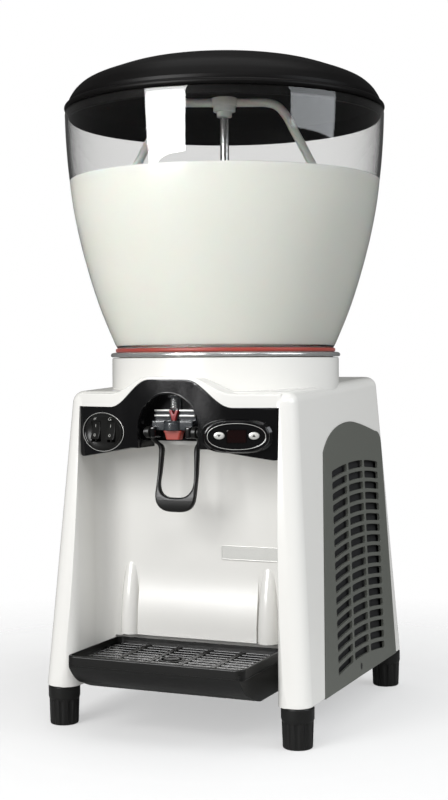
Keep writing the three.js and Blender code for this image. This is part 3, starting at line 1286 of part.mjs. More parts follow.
function fanShroud() {
  const low = casing.bottomZ + base.thick + gap;
  const sheet = block(shroudX, shroudX + fan.shroudThick, condenser.y - condenser.halfLength,
    condenser.y + condenser.halfLength, low, low + condenser.height);
  const depth = shroudX + fan.shroudDepth;
  const ring = rodAlongX(fan.radius + 2 * fan.shroudThick, shroudX, depth, medium).translate(0,
    condenser.y, fanZ);
  const throat = rodAlongX(fan.radius + fan.shroudThick, shroudX - overrun, depth + overrun, medium)
    .translate(0, condenser.y, fanZ);
  const spokes = [0, 1].map((i) => block(-fan.shroudThick / 2, fan.shroudThick / 2, -fan.radius - fan.lip,
    fan.radius + fan.lip, -fan.spokeWidth / 2, fan.spokeWidth / 2).rotateX(i * Math.PI / 2)
    .translate(depth - fan.shroudThick / 2, condenser.y, fanZ));
  const boss = rodAlongX(fan.motorRadius, depth - fan.shroudThick, depth, small).translate(0,
    condenser.y, fanZ);
  const bore = rodAlongX(shaft.radius + gap, shroudX, depth + overrun, tiny).translate(0, condenser.y,
    fanZ);
  return cut(join(cut(join(sheet, ring), throat), ...spokes, boss), bore);
}

function fanMotor() {
  const start = shroudX + fan.shroudDepth + gap;
  const body = rodAlongX(fan.motorRadius, start, start + fan.motorLength, small);
  const bore = rodAlongX(shaft.radius + gap, start - overrun, start + fan.motorLength / 2, tiny);
  return cut(body, bore).translate(0, condenser.y, fanZ);
}

function fanBlade() {
  const rear = shroudX + fan.shroudDepth - fan.shroudThick - gap;
  const front = rear - fan.hubLength + fan.shroudThick;
  const hub = rodAlongX(fan.hubRadius, front, rear, small);
  const axle = rodAlongX(shaft.radius, front, rear + fan.shroudThick + gap + fan.motorLength / 2, tiny);
  const blades = Array.from({ length: fan.bladeCount }, (_, i) => {
    const blade = block(-fan.bladeThick / 2, fan.bladeThick / 2, -fan.hubRadius, fan.hubRadius,
      fan.hubRadius / 2,
      fan.radius - fan.bladeThick);
    return blade.rotateZ(fan.bladePitch).translate((front + rear) / 2, 0,
      0).rotateX(2 * Math.PI * i / fan.bladeCount);
  });
  const slice = rodAlongX(fan.radius, front, rear, medium);
  return join(meet(join(hub, ...blades), slice), axle).translate(0, condenser.y, fanZ);
}

function controlBoard() {
  const wallY = bay.backY + casing.wall;
  const face = wallY + gap + board.standoff;
  const sheet = block(board.x - board.halfWidth, board.x + board.halfWidth, face, face + board.thick,
    board.z - board.halfHeight, board.z + board.halfHeight);
  const posts = [-1, 1].flatMap((sx) => [-1,
    1].map((sz) => rodAlongY(board.standoffRadius, wallY + gap, face + board.thick / 2, tiny)
    .translate(board.x + sx * (board.halfWidth - 2 * board.standoffRadius), 0,
      board.z + sz * (board.halfHeight - 2 * board.standoffRadius))));
  const parts = boardPartShares.map(([i, depth, height]) => {
    const x = board.x + i * board.partPitch;
    const half = board.partWidth / 2;
    return block(x - half, x + half, face + board.thick / 2, face + depth * board.halfHeight,
      board.z - height * board.halfHeight, board.z + height * board.halfHeight);
  });
  return join(sheet, ...posts, ...parts);
}

function filterDrier() {
  const low = casing.bottomZ + base.thick + gap;
  const neckTop = low + drier.standZ + drier.height + drier.neckLength;
  return turnedSolid([
    [0, low], [drier.neckRadius, low], [drier.neckRadius, low + drier.standZ - drier.neckLength],
    [drier.radius, low + drier.standZ],
    [drier.radius, low + drier.standZ + drier.height - drier.neckLength],
    [drier.neckRadius, low + drier.standZ + drier.height], [drier.neckRadius, neckTop], [0, neckTop],
  ], small).translate(drier.x, drier.y, 0);
}

// Refrigerant lines
const coilRadius = dome.radius - dome.wall - coil.play - coil.tube;

function suctionLine() {
  const low = casing.bottomZ + base.thick + gap + compressor.mountHeight + compressor.footPlate
    + compressor.potHeight
    + compressor.stubHeight + gap;
  const x = compressor.x - compressor.radius / 2;
  const middleZ = (coil.endZ + low) / 2;
  return tube(bentPath([[x, compressor.y, low], [x, compressor.y, middleZ],
    [coil.returnX, coilRadius, middleZ + line.bend],
    [coil.returnX, coilRadius, coil.endZ - gap]], line.bend), line.radius, line.sides, line.steps);
}

function capillaryLine() {
  const low = casing.bottomZ + base.thick + gap + drier.standZ + drier.height + drier.neckLength + gap;
  const middleZ = (coil.endZ + low) / 2;
  return tube(bentPath([[drier.x, drier.y, low], [drier.x, drier.y, middleZ],
    [0, coilRadius, middleZ + line.bend],
    [0, coilRadius, coil.endZ - gap]], line.bend), line.radius / 2, line.sides, line.steps);
}

// Feet

function footSolid() {
  const count = foot.fluteCount * 2;
  const top = foot.height - gap;
  const ring = (z, radius, depth) => Array.from({ length: count }, (_, i) => {
    const angle = 2 * Math.PI * i / count;
    const r = radius - (i % 2 === 0 ? depth : 0);
    return [r * Math.cos(angle), r * Math.sin(angle), z];
  });
  const at = (z) => foot.bottomRadius + (foot.topRadius - foot.bottomRadius) * z / top;
  const body = loft([
    ring(0, foot.bottomRadius - foot.edge, foot.fluteDepth), ring(foot.edge, at(foot.edge),
      foot.fluteDepth),
    ring(foot.fluteZ - foot.edge, at(foot.fluteZ), foot.fluteDepth), ring(foot.fluteZ, at(foot.fluteZ), 0),
    ring(top, foot.topRadius, 0),
  ]);
  return join(body, rod(foot.studRadius, top - overrun, top + foot.studLength, tiny));
}

// Finishes: colour, roughness and metalness
const finish = (color, roughness, metalness = 0) => (
  new THREE.MeshStandardMaterial({ color, roughness, metalness }));
const whiteGloss = finish(0xebeae6, 0.25);
const blackGloss = finish(0x0c0c0d, 0.15);
const blackSatin = finish(0x201f1e, 0.45);
const greySatin = finish(0x59595a, 0.5);
const clear = finish(0xe8eef0, 0.05);
const steel = finish(0xc4c6c8, 0.2, 1);
const sheetSteel = finish(0x9a9c9e, 0.4, 0.9);
const redRubber = finish(0xa0382a, 0.5);
const redPlastic = finish(0xb02a24, 0.35);
const milkyPlastic = finish(0xd9dbd6, 0.4);
const smokePlastic = finish(0x55585a, 0.2);
const foamWhite = finish(0xd8d2b8, 0.9);
const copper = finish(0xb06a42, 0.35, 1);
const darkPaint = finish(0x1b1c1e, 0.5);
const boardGreen = finish(0x2c5a3a, 0.5);
const darkRed = finish(0x2a0508, 0.15);
const silver = finish(0xc9cacb, 0.3, 0.8);
const greyRubber = finish(0x3a3a3a, 0.8);

const object = new THREE.Group();

function add(name, geometry, material) {
  const mesh = new THREE.Mesh(bare(geometry), material);
  mesh.name = name;
  object.add(mesh);
  return mesh;
}

const rightPanel = sidePanel();
const rightScrew = panelScrewSolid();

add('casing', casingShell(), whiteGloss);
add('base_plate', basePlate(), sheetSteel);
add('rear_cover', rearCover(), greySatin);
add('mains_inlet', mainsInlet(), blackSatin);
add('side_panel_right', rightPanel, greySatin);
add('side_panel_left', mirrorX(rightPanel), greySatin);
add('panel_screw_right', rightScrew, sheetSteel);
add('panel_screw_left', mirrorX(rightScrew), sheetSteel);

add('fascia', fasciaSolid(), blackGloss);
add('switch_dish', switchDish(), blackGloss);
add('rocker_cooling', rockerSolid(-1), blackSatin);
add('rocker_stirrer', rockerSolid(1), blackSatin);
add('switch_body_cooling', switchBody(-1), darkPaint);
add('switch_body_stirrer', switchBody(1), darkPaint);
add('display_pod', podBezel(), blackGloss);
add('display_window', podWindow(), darkRed);
add('display_board', podBoard(), boardGreen);
add('button_down', podButton(-1), silver);
add('button_up', podButton(1), silver);
add('badge_plate', badgePlate(), silver);

add('tap_body', tapBody(), smokePlastic);
add('tap_nozzle', tapNozzle(), redRubber);
add('tap_plunger', tapPlunger(), redPlastic);
add('tap_spring', tapSpring(), steel);
add('tap_handle', handleSolid(), blackSatin);
add('handle_pin_left', handlePin(-1), sheetSteel);
add('handle_pin_right', handlePin(1), sheetSteel);
add('outlet_pipe', outletPipe(), steel);

add('drip_tray', dripTray(), blackSatin);
add('drip_grid', dripGrid(), blackSatin);
add('tray_float', trayFloat(), blackSatin);

add('bowl', bowlSolid(), clear);
add('bowl_gasket', gasketSolid(), redRubber);
add('lid', lidSolid(), blackSatin);

add('cooling_plate', coolingPlate(), steel);
add('cooling_coil', coolingCoil(), copper);
add('foam_collar', foamCollar(), foamWhite);
add('drive_bracket', driveBracket(), sheetSteel);
add('gear_motor', gearMotor(), darkPaint);
add('drive_shaft', driveShaft(), steel);
add('guide_tube', guideTube(), steel);
add('stirrer', stirrerSolid(), milkyPlastic);

add('compressor', compressorSolid(), darkPaint);
for (const [name, sx, sy] of [['front_left', -1, -1], ['front_right', 1, -1], ['rear_left', -1, 1],
  ['rear_right', 1, 1]]) {
  add(`compressor_mount_${name}`, compressorMount(sx, sy), greyRubber);
}
add('condenser', condenserSolid(), sheetSteel);
add('fan_shroud', fanShroud(), sheetSteel);
add('fan_motor', fanMotor(), darkPaint);
add('fan_blade', fanBlade(), greySatin);
add('control_board', controlBoard(), boardGreen);
add('filter_drier', filterDrier(), copper);
add('suction_line', suctionLine(), copper);
add('capillary_line', capillaryLine(), copper);

for (const [name, x, y] of footPlaces) {
  add(name, footSolid(), blackSatin).position.set(x, y, 0);
}

export default object;
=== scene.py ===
"""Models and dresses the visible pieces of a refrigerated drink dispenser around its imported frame."""

import json
import math

import bmesh
import bpy
from mathutils import Matrix, Vector


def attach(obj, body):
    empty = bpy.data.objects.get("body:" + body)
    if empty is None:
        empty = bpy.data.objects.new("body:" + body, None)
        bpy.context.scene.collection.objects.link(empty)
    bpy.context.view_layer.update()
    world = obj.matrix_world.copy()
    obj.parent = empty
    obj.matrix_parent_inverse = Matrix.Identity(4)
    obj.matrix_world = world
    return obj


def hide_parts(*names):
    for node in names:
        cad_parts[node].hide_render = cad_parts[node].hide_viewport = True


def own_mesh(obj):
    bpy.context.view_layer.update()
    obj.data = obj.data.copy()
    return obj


bl_info = {
    "name": "Drink Dispenser Dressing",
    "version": (1, 0, 0),
    "blender": (4, 5, 0),
    "location": "View3D > Sidebar > Dispenser",
    "description": "Models and dresses the visible pieces of a refrigerated drink dispenser",
    "category": "Object",
}

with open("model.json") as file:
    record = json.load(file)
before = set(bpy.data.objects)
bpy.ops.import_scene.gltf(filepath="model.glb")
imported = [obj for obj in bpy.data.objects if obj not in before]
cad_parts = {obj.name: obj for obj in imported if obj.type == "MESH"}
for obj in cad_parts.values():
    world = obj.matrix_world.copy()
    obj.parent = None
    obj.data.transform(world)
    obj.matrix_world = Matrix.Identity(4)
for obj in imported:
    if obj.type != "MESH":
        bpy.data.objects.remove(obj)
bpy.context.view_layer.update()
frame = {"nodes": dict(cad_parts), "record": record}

MM = 0.001
FULL = 2 * math.pi


def linear(red, green, blue):
    """A colour read off a screen, from 0 to 255 a channel, as the light that it stands for."""
    return tuple(((c / 255 + 0.055) / 1.055) ** 2.4 for c in (red, green, blue))


def length(name, description, default):
    """A length property; its default is in millimetres."""
    return bpy.props.FloatProperty(
        name=name, description=description, default=default * MM, min=0, unit="LENGTH"
    )


def colour(name, description, default):
    """A colour property."""
    return bpy.props.FloatVectorProperty(
        name=name, description=description, default=default, size=3, min=0, max=1, subtype="COLOR"
    )


class DispenserSizes(bpy.types.PropertyGroup):
    """Sizes that change how rounded or how fine the visible pieces are."""

    casing_corner: length("Casing corner", "Radius of the casing's upright corners", 17)
    deck_round: length("Deck edge", "Radius of the edge round the casing's deck", 11)
    hood_edge: length("Hood edge", "Radius along the front edge of the hood", 2.2)
    seam: length("Seam", "Width of the dark line between two mouldings", 0.5)
    panel_edge: length("Panel edge", "Rounding of the side panels and their slots", 0.5)
    bowl_wall: length("Bowl wall", "Thickness of the clear bowl", 3)
    drink_level: length("Drink level", "Height of the drink's surface over the counter", 591)
    drink_gap: length("Drink gap", "Thin play between the drink and the bowl", 0.15)
    lid_lip: length("Lid lip", "Radius of the rolled lip of the lid", 3.6)
    handle_edge: length("Handle edge", "Rounding along the push handle", 2.2)
    tray_edge: length("Tray edge", "Rounding of the drip tray's rim", 1.6)
    grid_edge: length("Grid edge", "Rounding of the bars of the drip grid", 0.7)


class DispenserColours(bpy.types.PropertyGroup):
    """Colours of the dispenser's finishes."""

    casing: colour("Casing", "Moulded white casing", linear(236, 235, 231))
    gloss: colour("Gloss black", "Fascia, display pod and handle", linear(11, 11, 12))
    satin: colour("Satin black", "Drip tray, rockers and feet", linear(24, 24, 23))
    lid: colour("Lid black", "Dull black of the lid", linear(14, 13, 13))
    panel: colour("Panel grey", "Side panels", linear(99, 101, 95))
    clear: colour("Bowl tint", "Faint tint of the clear bowl", (0.905, 0.905, 0.9))
    drink: colour("Drink", "The drink in the bowl", linear(240, 241, 233))
    steel: colour("Steel", "Cooling dome, guide tube and pins", linear(222, 223, 222))
    gasket: colour("Gasket red", "Rubber gasket under the bowl and the nozzle", linear(163, 56, 42))
    red: colour("Plunger red", "Plunger of the tap", linear(150, 36, 38))
    milky: colour("Milky plastic", "Stirrer and foam white parts", linear(222, 224, 219))
    smoke: colour("Smoke plastic", "Tap block", linear(88, 92, 96))
    # Silver also colours painted highlights: the tap's ribs and the thin rings round the switch dish and the
    # display pod.
    silver: colour("Silver", "Buttons and the bare name plate", linear(208, 208, 204))
    mark: colour("Marks", "Printed marks beside the switches", linear(176, 176, 172))
    floor: colour("Floor", "Floor and backdrop of the studio", (0.93, 0.93, 0.93))


def size(name):
    """One of the sizes that the scene holds, in millimetres."""
    return getattr(bpy.context.scene.dispenser_sizes, name) / MM


def tint(name):
    """One of the colours that the scene holds."""
    return tuple(getattr(bpy.context.scene.dispenser_colours, name))


# Selecting and shaping

MERGE = 0.002 * MM


def rest():
    """Leaves edit mode and deselects everything."""
    if bpy.context.object and bpy.context.object.mode != "OBJECT":
        bpy.ops.object.mode_set(mode="OBJECT")
    bpy.ops.object.select_all(action="DESELECT")


def hold(piece):
    """Makes a piece the only selected object, and the active one."""
    rest()
    piece.select_set(True)
    bpy.context.view_layer.objects.active = piece


def edit(piece):
    """Opens a piece in edit mode with all of it selected."""
    hold(piece)
    bpy.ops.object.mode_set(mode="EDIT")
    bpy.ops.mesh.select_mode(type="VERT")
    bpy.ops.mesh.select_all(action="SELECT")


def choose(test):
    """Selects the edges of the open piece whose middle, in millimetres, and way pass a test."""
    bpy.ops.mesh.select_mode(type="EDGE")
    bpy.ops.mesh.select_all(action="DESELECT")
    data = bpy.context.edit_object.data
    mesh = bmesh.from_edit_mesh(data)
    for side in mesh.edges:
        start, end = (point.co for point in side.verts)
        if test((start + end) / 2 / MM, (end - start).normalized()):
            side.select_set(True)
    mesh.select_flush_mode()
    bmesh.update_edit_mesh(data)


def soften(width, segments=3):
    """Bevels the selected edges of the open piece by a width in millimetres."""
    bpy.ops.mesh.bevel(offset=width * MM, segments=segments, affect="EDGES", clamp_overlap=True)


def face_out():
    """Turns all faces of the open piece outward and leaves edit mode."""
    bpy.ops.mesh.select_all(action="SELECT")
    bpy.ops.mesh.normals_make_consistent(inside=False)
    rest()


def close_up(piece):
    """Merges the doubles of a piece and turns its faces outward."""
    edit(piece)
    bpy.ops.mesh.remove_doubles(threshold=MERGE)
    face_out()
    return piece


def modify(piece, kind, **settings):
    """Adds a modifier and applies it."""
    hold(piece)
    bpy.ops.object.modifier_add(type=kind)
    modifier = piece.modifiers[-1]
    for key, value in settings.items():
        setattr(modifier, key, value)
    bpy.ops.object.modifier_apply(modifier=modifier.name)


def combine(piece, operation, tools):
    """Joins or cuts a piece with tools, which are used up."""
    for tool in tools:
        modify(piece, "BOOLEAN", operation=operation, object=tool, solver="EXACT")
        bpy.data.objects.remove(tool)
    return piece


def carve(piece, *tools):
    """Cuts tools out of a piece."""
    return combine(piece, "DIFFERENCE", tools)


def weld(piece, *others):
    """Makes one closed body of a piece and others."""
    return combine(piece, "UNION", others)


def group(piece, *others):
    """Joins pieces into one object, without cutting them."""
    hold(piece)
    for other in others:
        other.select_set(True)
    bpy.ops.object.join()
    return piece


def twin(piece):
    """A copy of a piece with its own mesh."""
    copy = piece.copy()
    copy.data = piece.data.copy()
    bpy.context.scene.collection.objects.link(copy)
    return copy


def placed(piece, matrix):
    """Puts a piece in its place and works the place into its mesh."""
    hold(piece)
    piece.matrix_world = matrix @ piece.matrix_world
    bpy.ops.object.transform_apply(location=True, rotation=True, scale=True)
    return piece


def mirrored(piece):
    """The left-hand twin of a piece."""
    copy = placed(twin(piece), Matrix.Diagonal((-1, 1, 1, 1)))
    edit(copy)
    bpy.ops.mesh.flip_normals()
    rest()
    return copy


def at(x, y, z):
    """A move in millimetres as a matrix."""
    return Matrix.Translation((x * MM, y * MM, z * MM))


def turn(degrees, axis):
    """A turn about an axis through the origin as a matrix."""
    return Matrix.Rotation(math.radians(degrees), 4, axis)


# Forms, all in millimetres: blocks, rods, turned, flat, lofted and tubular ones

FINE, ROUND = 160, 128


def softened(name, edge, segments=3):
    """Names the form that was just added, works its place into its mesh and rounds its sharp edges."""
    piece = bpy.context.object
    piece.name = name
    bpy.ops.object.transform_apply(location=True, rotation=True, scale=True)
    if edge:
        edit(piece)
        bpy.ops.mesh.select_mode(type="EDGE")
        bpy.ops.mesh.select_all(action="DESELECT")
        bpy.ops.mesh.edges_select_sharp(sharpness=math.radians(60))
        soften(edge, segments)
        rest()
    return piece


def block(name, low, high, edge=0, segments=3):
    """A block between two corners, with its edges softened."""
    rest()
    middle = [(a + b) / 2 * MM for a, b in zip(low, high)]
    spans = [(b - a) * MM for a, b in zip(low, high)]
    bpy.ops.mesh.primitive_cube_add(size=1, location=middle, scale=spans)
    return softened(name, edge, segments)


def rod(name, centre, radius, depth, axis="Z", sides=48, edge=0):
    """A round rod whose middle is at the centre, with its rims softened."""
    rest()
    spin = {"X": (0, math.pi / 2, 0), "Y": (math.pi / 2, 0, 0), "Z": (0, 0, 0)}[axis]
    bpy.ops.mesh.primitive_cylinder_add(
        vertices=sides, radius=radius * MM, depth=depth * MM, location=[c * MM for c in centre], rotation=spin
    )
    return softened(name, edge)


def line_object(name, loops, cyclic, planar):
    """A curve object of straight runs through points in millimetres."""
    curve = bpy.data.curves.new(name, "CURVE")
    curve.dimensions = "2D" if planar else "3D"
    for loop in loops:
        spline = curve.splines.new("POLY")
        spline.points.add(len(loop) - 1)
        for point, place in zip(spline.points, loop):
            spread = [c * MM for c in place] + [0] * (3 - len(place))
            point.co = (*spread, 1)
        spline.use_cyclic_u = cyclic
    piece = bpy.data.objects.new(name, curve)
    bpy.context.scene.collection.objects.link(piece)
    return piece


def as_mesh(piece):
    """Turns a curve object into a mesh."""
    name = piece.name
    hold(piece)
    bpy.ops.object.convert(target="MESH")
    piece = bpy.context.object
    piece.name = name
    return piece


def turned(name, profile, steps):
    """A profile in radius and height, spun about the upright axis; one that starts off the axis is a ring."""
    piece = as_mesh(line_object(name, [[(r, 0, z) for r, z in profile]], profile[0][0] > 0, False))
    edit(piece)
    bpy.ops.mesh.spin(steps=steps, angle=FULL, center=(0, 0, 0), axis=(0, 0, 1))
    bpy.ops.mesh.select_all(action="SELECT")
    bpy.ops.mesh.remove_doubles(threshold=MERGE)
    bpy.ops.mesh.dissolve_degenerate(threshold=MERGE)
    face_out()
    return piece


def flat(name, loops, thick, edge=0, resolution=1):
    """A flat plate in X and Y with holes, its middle plane at zero."""
    piece = line_object(name, [winding(loop, i == 0) for i, loop in enumerate(loops)], True, True)
    curve = piece.data
    curve.fill_mode = "BOTH"
    curve.extrude = (thick / 2 - edge) * MM
    curve.bevel_depth = edge * MM
    curve.bevel_resolution = resolution
    curve.offset = -edge * MM
    return close_up(as_mesh(piece))


def winding(loop, outer):
    """Runs an outer loop one way round and a hole the other."""
    area = sum(a[0] * b[1] - b[0] * a[1] for a, b in zip(loop, loop[1:] + loop[:1]))
    return list(loop) if (area > 0) == outer else list(reversed(loop))


def standing(name, loops, thick, edge=0, resolution=1):
    """A flat plate drawn in X and Z that stands with its front at Y zero."""
    plate = flat(name, loops, thick, edge, resolution)
    return placed(plate, at(0, thick / 2, 0) @ turn(90, "X"))


def sideways(name, loops, thick, edge=0, resolution=1):
    """A flat plate drawn in Y and Z, its middle plane at X zero."""
    return placed(flat(name, loops, thick, edge, resolution), turn(90, "Z") @ turn(90, "X"))


def layer(name, loops, low, high, edge=0, resolution=1):
    """A flat plate drawn in X and Y between two heights."""
    return placed(flat(name, loops, high - low, edge, resolution), at(0, 0, (low + high) / 2))


def at_depth(outline, y):
    """An outline in X and Z as a ring at one depth."""
    return [(x, y, z) for x, z in outline]


def at_height(outline, z):
    """An outline in X and Y as a ring at one height."""
    return [(x, y, z) for x, y in outline]


def lofted(name, rings):
    """A closed form through rings of points: the first is drawn, and each next one is extruded from it."""
    count = len(rings[0])
    piece = as_mesh(line_object(name, [rings[0]], True, False))
    edit(piece)
    bpy.ops.mesh.edge_face_add()
    for ring in rings[1:]:
        bpy.ops.mesh.extrude_region_move(TRANSFORM_OT_translate={"value": (0, 0, MM)})
        mesh = bmesh.from_edit_mesh(piece.data)
        chosen = [point for point in mesh.verts if point.select]
        for point, place in zip(sorted(chosen, key=lambda point: point.index), ring):
            point.co = Vector(place) * MM
        bmesh.update_edit_mesh(piece.data)
    face_out()
    if len(piece.data.vertices) != count * len(rings):
        raise RuntimeError(f"{name} lost points while it was lofted")
    return piece


def tube(name, points, radius, resolution, smooth):
    """A round tube along points in millimetres, closed at both ends."""
    curve = bpy.data.curves.new(name, "CURVE")
    curve.dimensions = "3D"
    curve.resolution_u = 6
    curve.bevel_depth = radius * MM
    curve.bevel_resolution = resolution
    curve.use_fill_caps = True
    spline = curve.splines.new("BEZIER" if smooth else "POLY")
    knots = spline.bezier_points if smooth else spline.points
    knots.add(len(points) - 1)
    for knot, place in zip(knots, points):
        if smooth:
            knot.co = Vector(place) * MM
            knot.handle_left_type = knot.handle_right_type = "AUTO"
        else:
            knot.co = (*(Vector(place) * MM), 1)
    piece = bpy.data.objects.new(name, curve)
    bpy.context.scene.collection.objects.link(piece)
    return close_up(as_mesh(piece))


def arc(x, y, radius, start, end, steps=8):
    """Points on an arc, from one angle in degrees to another."""
    return [
        (
            x + radius * math.cos(math.radians(start + (end - start) * i / steps)),
            y + radius * math.sin(math.radians(start + (end - start) * i / steps)),
        )
        for i in range(steps + 1)
    ]


def rounded(half_width, half_height, radius, x=0, y=0, steps=6):
    """A rectangle with round corners."""
    w = half_width - radius
    h = half_height - radius
    return (
        arc(x + w, y - h, radius, -90, 0, steps)
        + arc(x + w, y + h, radius, 0, 90, steps)
        + arc(x - w, y + h, radius, 90, 180, steps)
        + arc(x - w, y - h, radius, 180, 270, steps)
    )


def oval(half_width, half_height, x=0, y=0, steps=48, squareness=2):
    """An oval, squarish where the squareness is over two."""
    points = []
    for i in range(steps):
        c = math.cos(FULL * i / steps)
        s = math.sin(FULL * i / steps)
        reach = (abs(c) ** squareness + abs(s) ** squareness) ** (-1 / squareness)
        points.append((x + half_width * reach * c, y + half_height * reach * s))
    return points


def bowed(start, middle, end, steps=8):
    """Points on a curve that leaves the start and reaches the end, drawn towards the middle."""
    points = []
    for i in range(1, steps + 1):
        t = i / steps
        points.append(
            tuple((1 - t) ** 2 * a + 2 * t * (1 - t) * b + t * t * c for a, b, c in zip(start, middle, end))
        )
    return points


def eased(points, steps=5):
    """A smooth line through points."""
    line = []
    for i in range(len(points) - 1):
        a, b = points[max(i - 1, 0)], points[i]
        c, d = points[i + 1], points[min(i + 2, len(points) - 1)]
        for t in (k / steps for k in range(steps)):
            line.append(tuple(
                0.5 * (2 * q + (r - p) * t + (2 * p - 5 * q + 4 * r - s) * t * t
                       + (3 * q - p - 3 * r + s) * t ** 3)
                for p, q, r, s in zip(a, b, c, d)
            ))
    return line + [points[-1]]


def dress(piece, name, body, surface, replaced=(), angle=32):
    """Names a piece, smooths it, gives it its finish and lets it ride on its body."""
    piece.name = name
    piece.data.name = name
    hold(piece)
    bpy.ops.object.shade_smooth_by_angle(angle=math.radians(angle))
    modify(piece, "WEIGHTED_NORMAL", keep_sharp=True)
    piece.data.materials.clear()
    piece.data.materials.append(finish(surface))
    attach(piece, body)
    if replaced:
        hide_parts(*replaced)
    rest()
    return piece


# Finishes: each one is a node material that reads Object coordinates


class Value:
    """A socket with the operators of plain arithmetic, each of which adds its Math node."""

    def __init__(self, shade, socket):
        self.shade = shade
        self.socket = socket

    def __add__(self, other):
        return self.shade.maths("ADD", self, other)

    def __sub__(self, other):
        return self.shade.maths("SUBTRACT", self, other)

    def __mul__(self, other):
        return self.shade.maths("MULTIPLY", self, other)

    def __rsub__(self, other):
        return self.shade.maths("SUBTRACT", other, self)

    __radd__ = __add__
    __rmul__ = __mul__


class Shade:
    """A material with one shader, and the nodes that feed it."""

    def __init__(self, name, **constants):
        self.material = bpy.data.materials.new(name)
        self.material.use_nodes = True
        self.tree = self.material.node_tree
        self.shader = next(node for node in self.tree.nodes if node.type == "BSDF_PRINCIPLED")
        for key, value in constants.items():
            self.shader.inputs[key.replace("_", " ")].default_value = value
        self.place = self.node("ShaderNodeTexCoord").outputs["Object"]

    def node(self, kind, settings=None, inputs=None):
        """Adds a node: its settings are set first, then the values or links of its sockets."""
        added = self.tree.nodes.new(kind)
        for key, value in (settings or {}).items():
            setattr(added, key, value)
        for key, value in (inputs or {}).items():
            source = value.socket if isinstance(value, Value) else value
            if isinstance(source, bpy.types.NodeSocket):
                self.tree.links.new(source, added.inputs[key])
            else:
                added.inputs[key].default_value = source
        return added

    def maths(self, operation, *terms, clamp=False):
        """One Math node on terms."""
        settings = {"operation": operation, "use_clamp": clamp}
        return Value(self, self.node("ShaderNodeMath", settings, dict(enumerate(terms))).outputs[0])

    def spread(self, value, low, high):
        """Runs from 0 to 1 as a value runs from low to high."""
        return self.maths("MULTIPLY_ADD", value, 1 / (high - low), -low / (high - low), clamp=True)

    def axis(self, name):
        """One coordinate of the point, in metres."""
        return Value(self, self.node("ShaderNodeSeparateXYZ", None, {0: self.place}).outputs[name])

    def stretched(self, x, y, z):
        """The place with each axis scaled."""
        return self.node("ShaderNodeMapping", None, {"Vector": self.place, "Scale": (x, y, z)}).outputs[0]

    def noise(self, scale, detail, place=None, roughness=0.5):
        """Noise from 0 to 1."""
        inputs = {"Vector": place or self.place, "Scale": scale, "Detail": detail, "Roughness": roughness}
        return Value(self, self.node("ShaderNodeTexNoise", None, inputs).outputs["Fac"])

    def cells(self, scale, feature="F1"):
        """Distance in a field of cells."""
        inputs = {"Vector": self.place, "Scale": scale}
        field = self.node("ShaderNodeTexVoronoi", {"feature": feature}, inputs)
        return Value(self, field.outputs["Distance"])

    def mixed(self, share, first, second):
        """Two colours mixed by a share."""
        inputs = {0: share}
        for key, value in ((6, first), (7, second)):
            inputs[key] = (*value, 1) if isinstance(value, tuple) else value
        return self.node("ShaderNodeMix", {"data_type": "RGBA"}, inputs).outputs[2]

    def toned(self, share, base, low, high):
        """A colour that a share takes from one tone of it to another."""
        return self.mixed(share, *(tuple(min(c * factor, 1) for c in base) for factor in (low, high)))

    def feed(self, socket, value):
        """Links a value to one of the shader's sockets."""
        self.tree.links.new(value.socket if isinstance(value, Value) else value, self.shader.inputs[socket])

    def coat(self, paint, rough, height=None, strength=0, depth=0):
        """Feeds the colour, the roughness and any relief, with its depth in millimetres."""
        self.feed("Base Color", paint)
        self.feed("Roughness", rough)
        if height:
            inputs = {"Height": height, "Strength": strength, "Distance": depth * MM}
            self.feed("Normal", self.node("ShaderNodeBump", None, inputs).outputs[0])
        return self


def moulded(name, base, rough, grain, depth, spread, uneven, **constants):
    """Moulded plastic: a fine grain, a slow drift of colour, and a gloss that isn't quite even."""
    shade = Shade(name, **constants)
    drift = shade.noise(7, 3)
    speck = shade.noise(grain / 3, 2)
    gloss = rough + (drift - 0.5) * uneven + (speck - 0.5) * (uneven / 2)
    tones = shade.toned(drift, base, 1 - spread, 1 + spread)
    return shade.coat(tones, gloss, shade.noise(grain, 3), 0.35, depth)


def white_casing():
    """Gloss white moulding, a little duller low down, with faint waves from the mould."""
    shade = Shade("white_casing", Coat_Weight=0.25, Coat_Roughness=0.12)
    base = tint("casing")
    dust = (1 - shade.spread(shade.axis("Z"), 0.04, 0.14)) * shade.noise(38, 4)
    clean = shade.toned(shade.noise(5, 3), base, 0.985, 1.01)
    dusty = shade.mixed(dust * 0.08, clean, tuple(c * 0.75 for c in base))
    waves = shade.noise(210, 2) + shade.noise(11, 2) * 3
    return shade.coat(dusty, 0.2 + dust * 0.06 + shade.noise(60, 3) * 0.05, waves, 0.12, 0.12)


def black_gloss():
    """Gloss black moulding with faint smears, which dull it in patches."""
    shade = Shade("black_gloss", Coat_Weight=0.4, Coat_Roughness=0.05)
    smear = shade.spread(shade.noise(24, 4, shade.stretched(1, 1, 0.4)), 0.52, 0.75)
    gloss = 0.09 + smear * 0.1 + shade.noise(120, 2) * 0.04
    return shade.coat(shade.toned(smear, tint("gloss"), 1, 1.7), gloss, shade.noise(16, 2), 0.1, 0.2)


def black_satin():
    """Satin black moulding with a fine even grain."""
    return moulded("black_satin", tint("satin"), 0.33, 1500, 0.05, 0.1, 0.08, Specular_IOR_Level=0.3)


def black_lid():
    """Dull black moulding of the lid."""
    return moulded("black_lid", tint("lid"), 0.42, 1200, 0.05, 0.1, 0.1, Specular_IOR_Level=0.12)


def grey_panel():
    """Dark grey panel with the grain of a spark-eroded mould."""
    return moulded("grey_panel", tint("panel"), 0.44, 1100, 0.06, 0.05, 0.08)


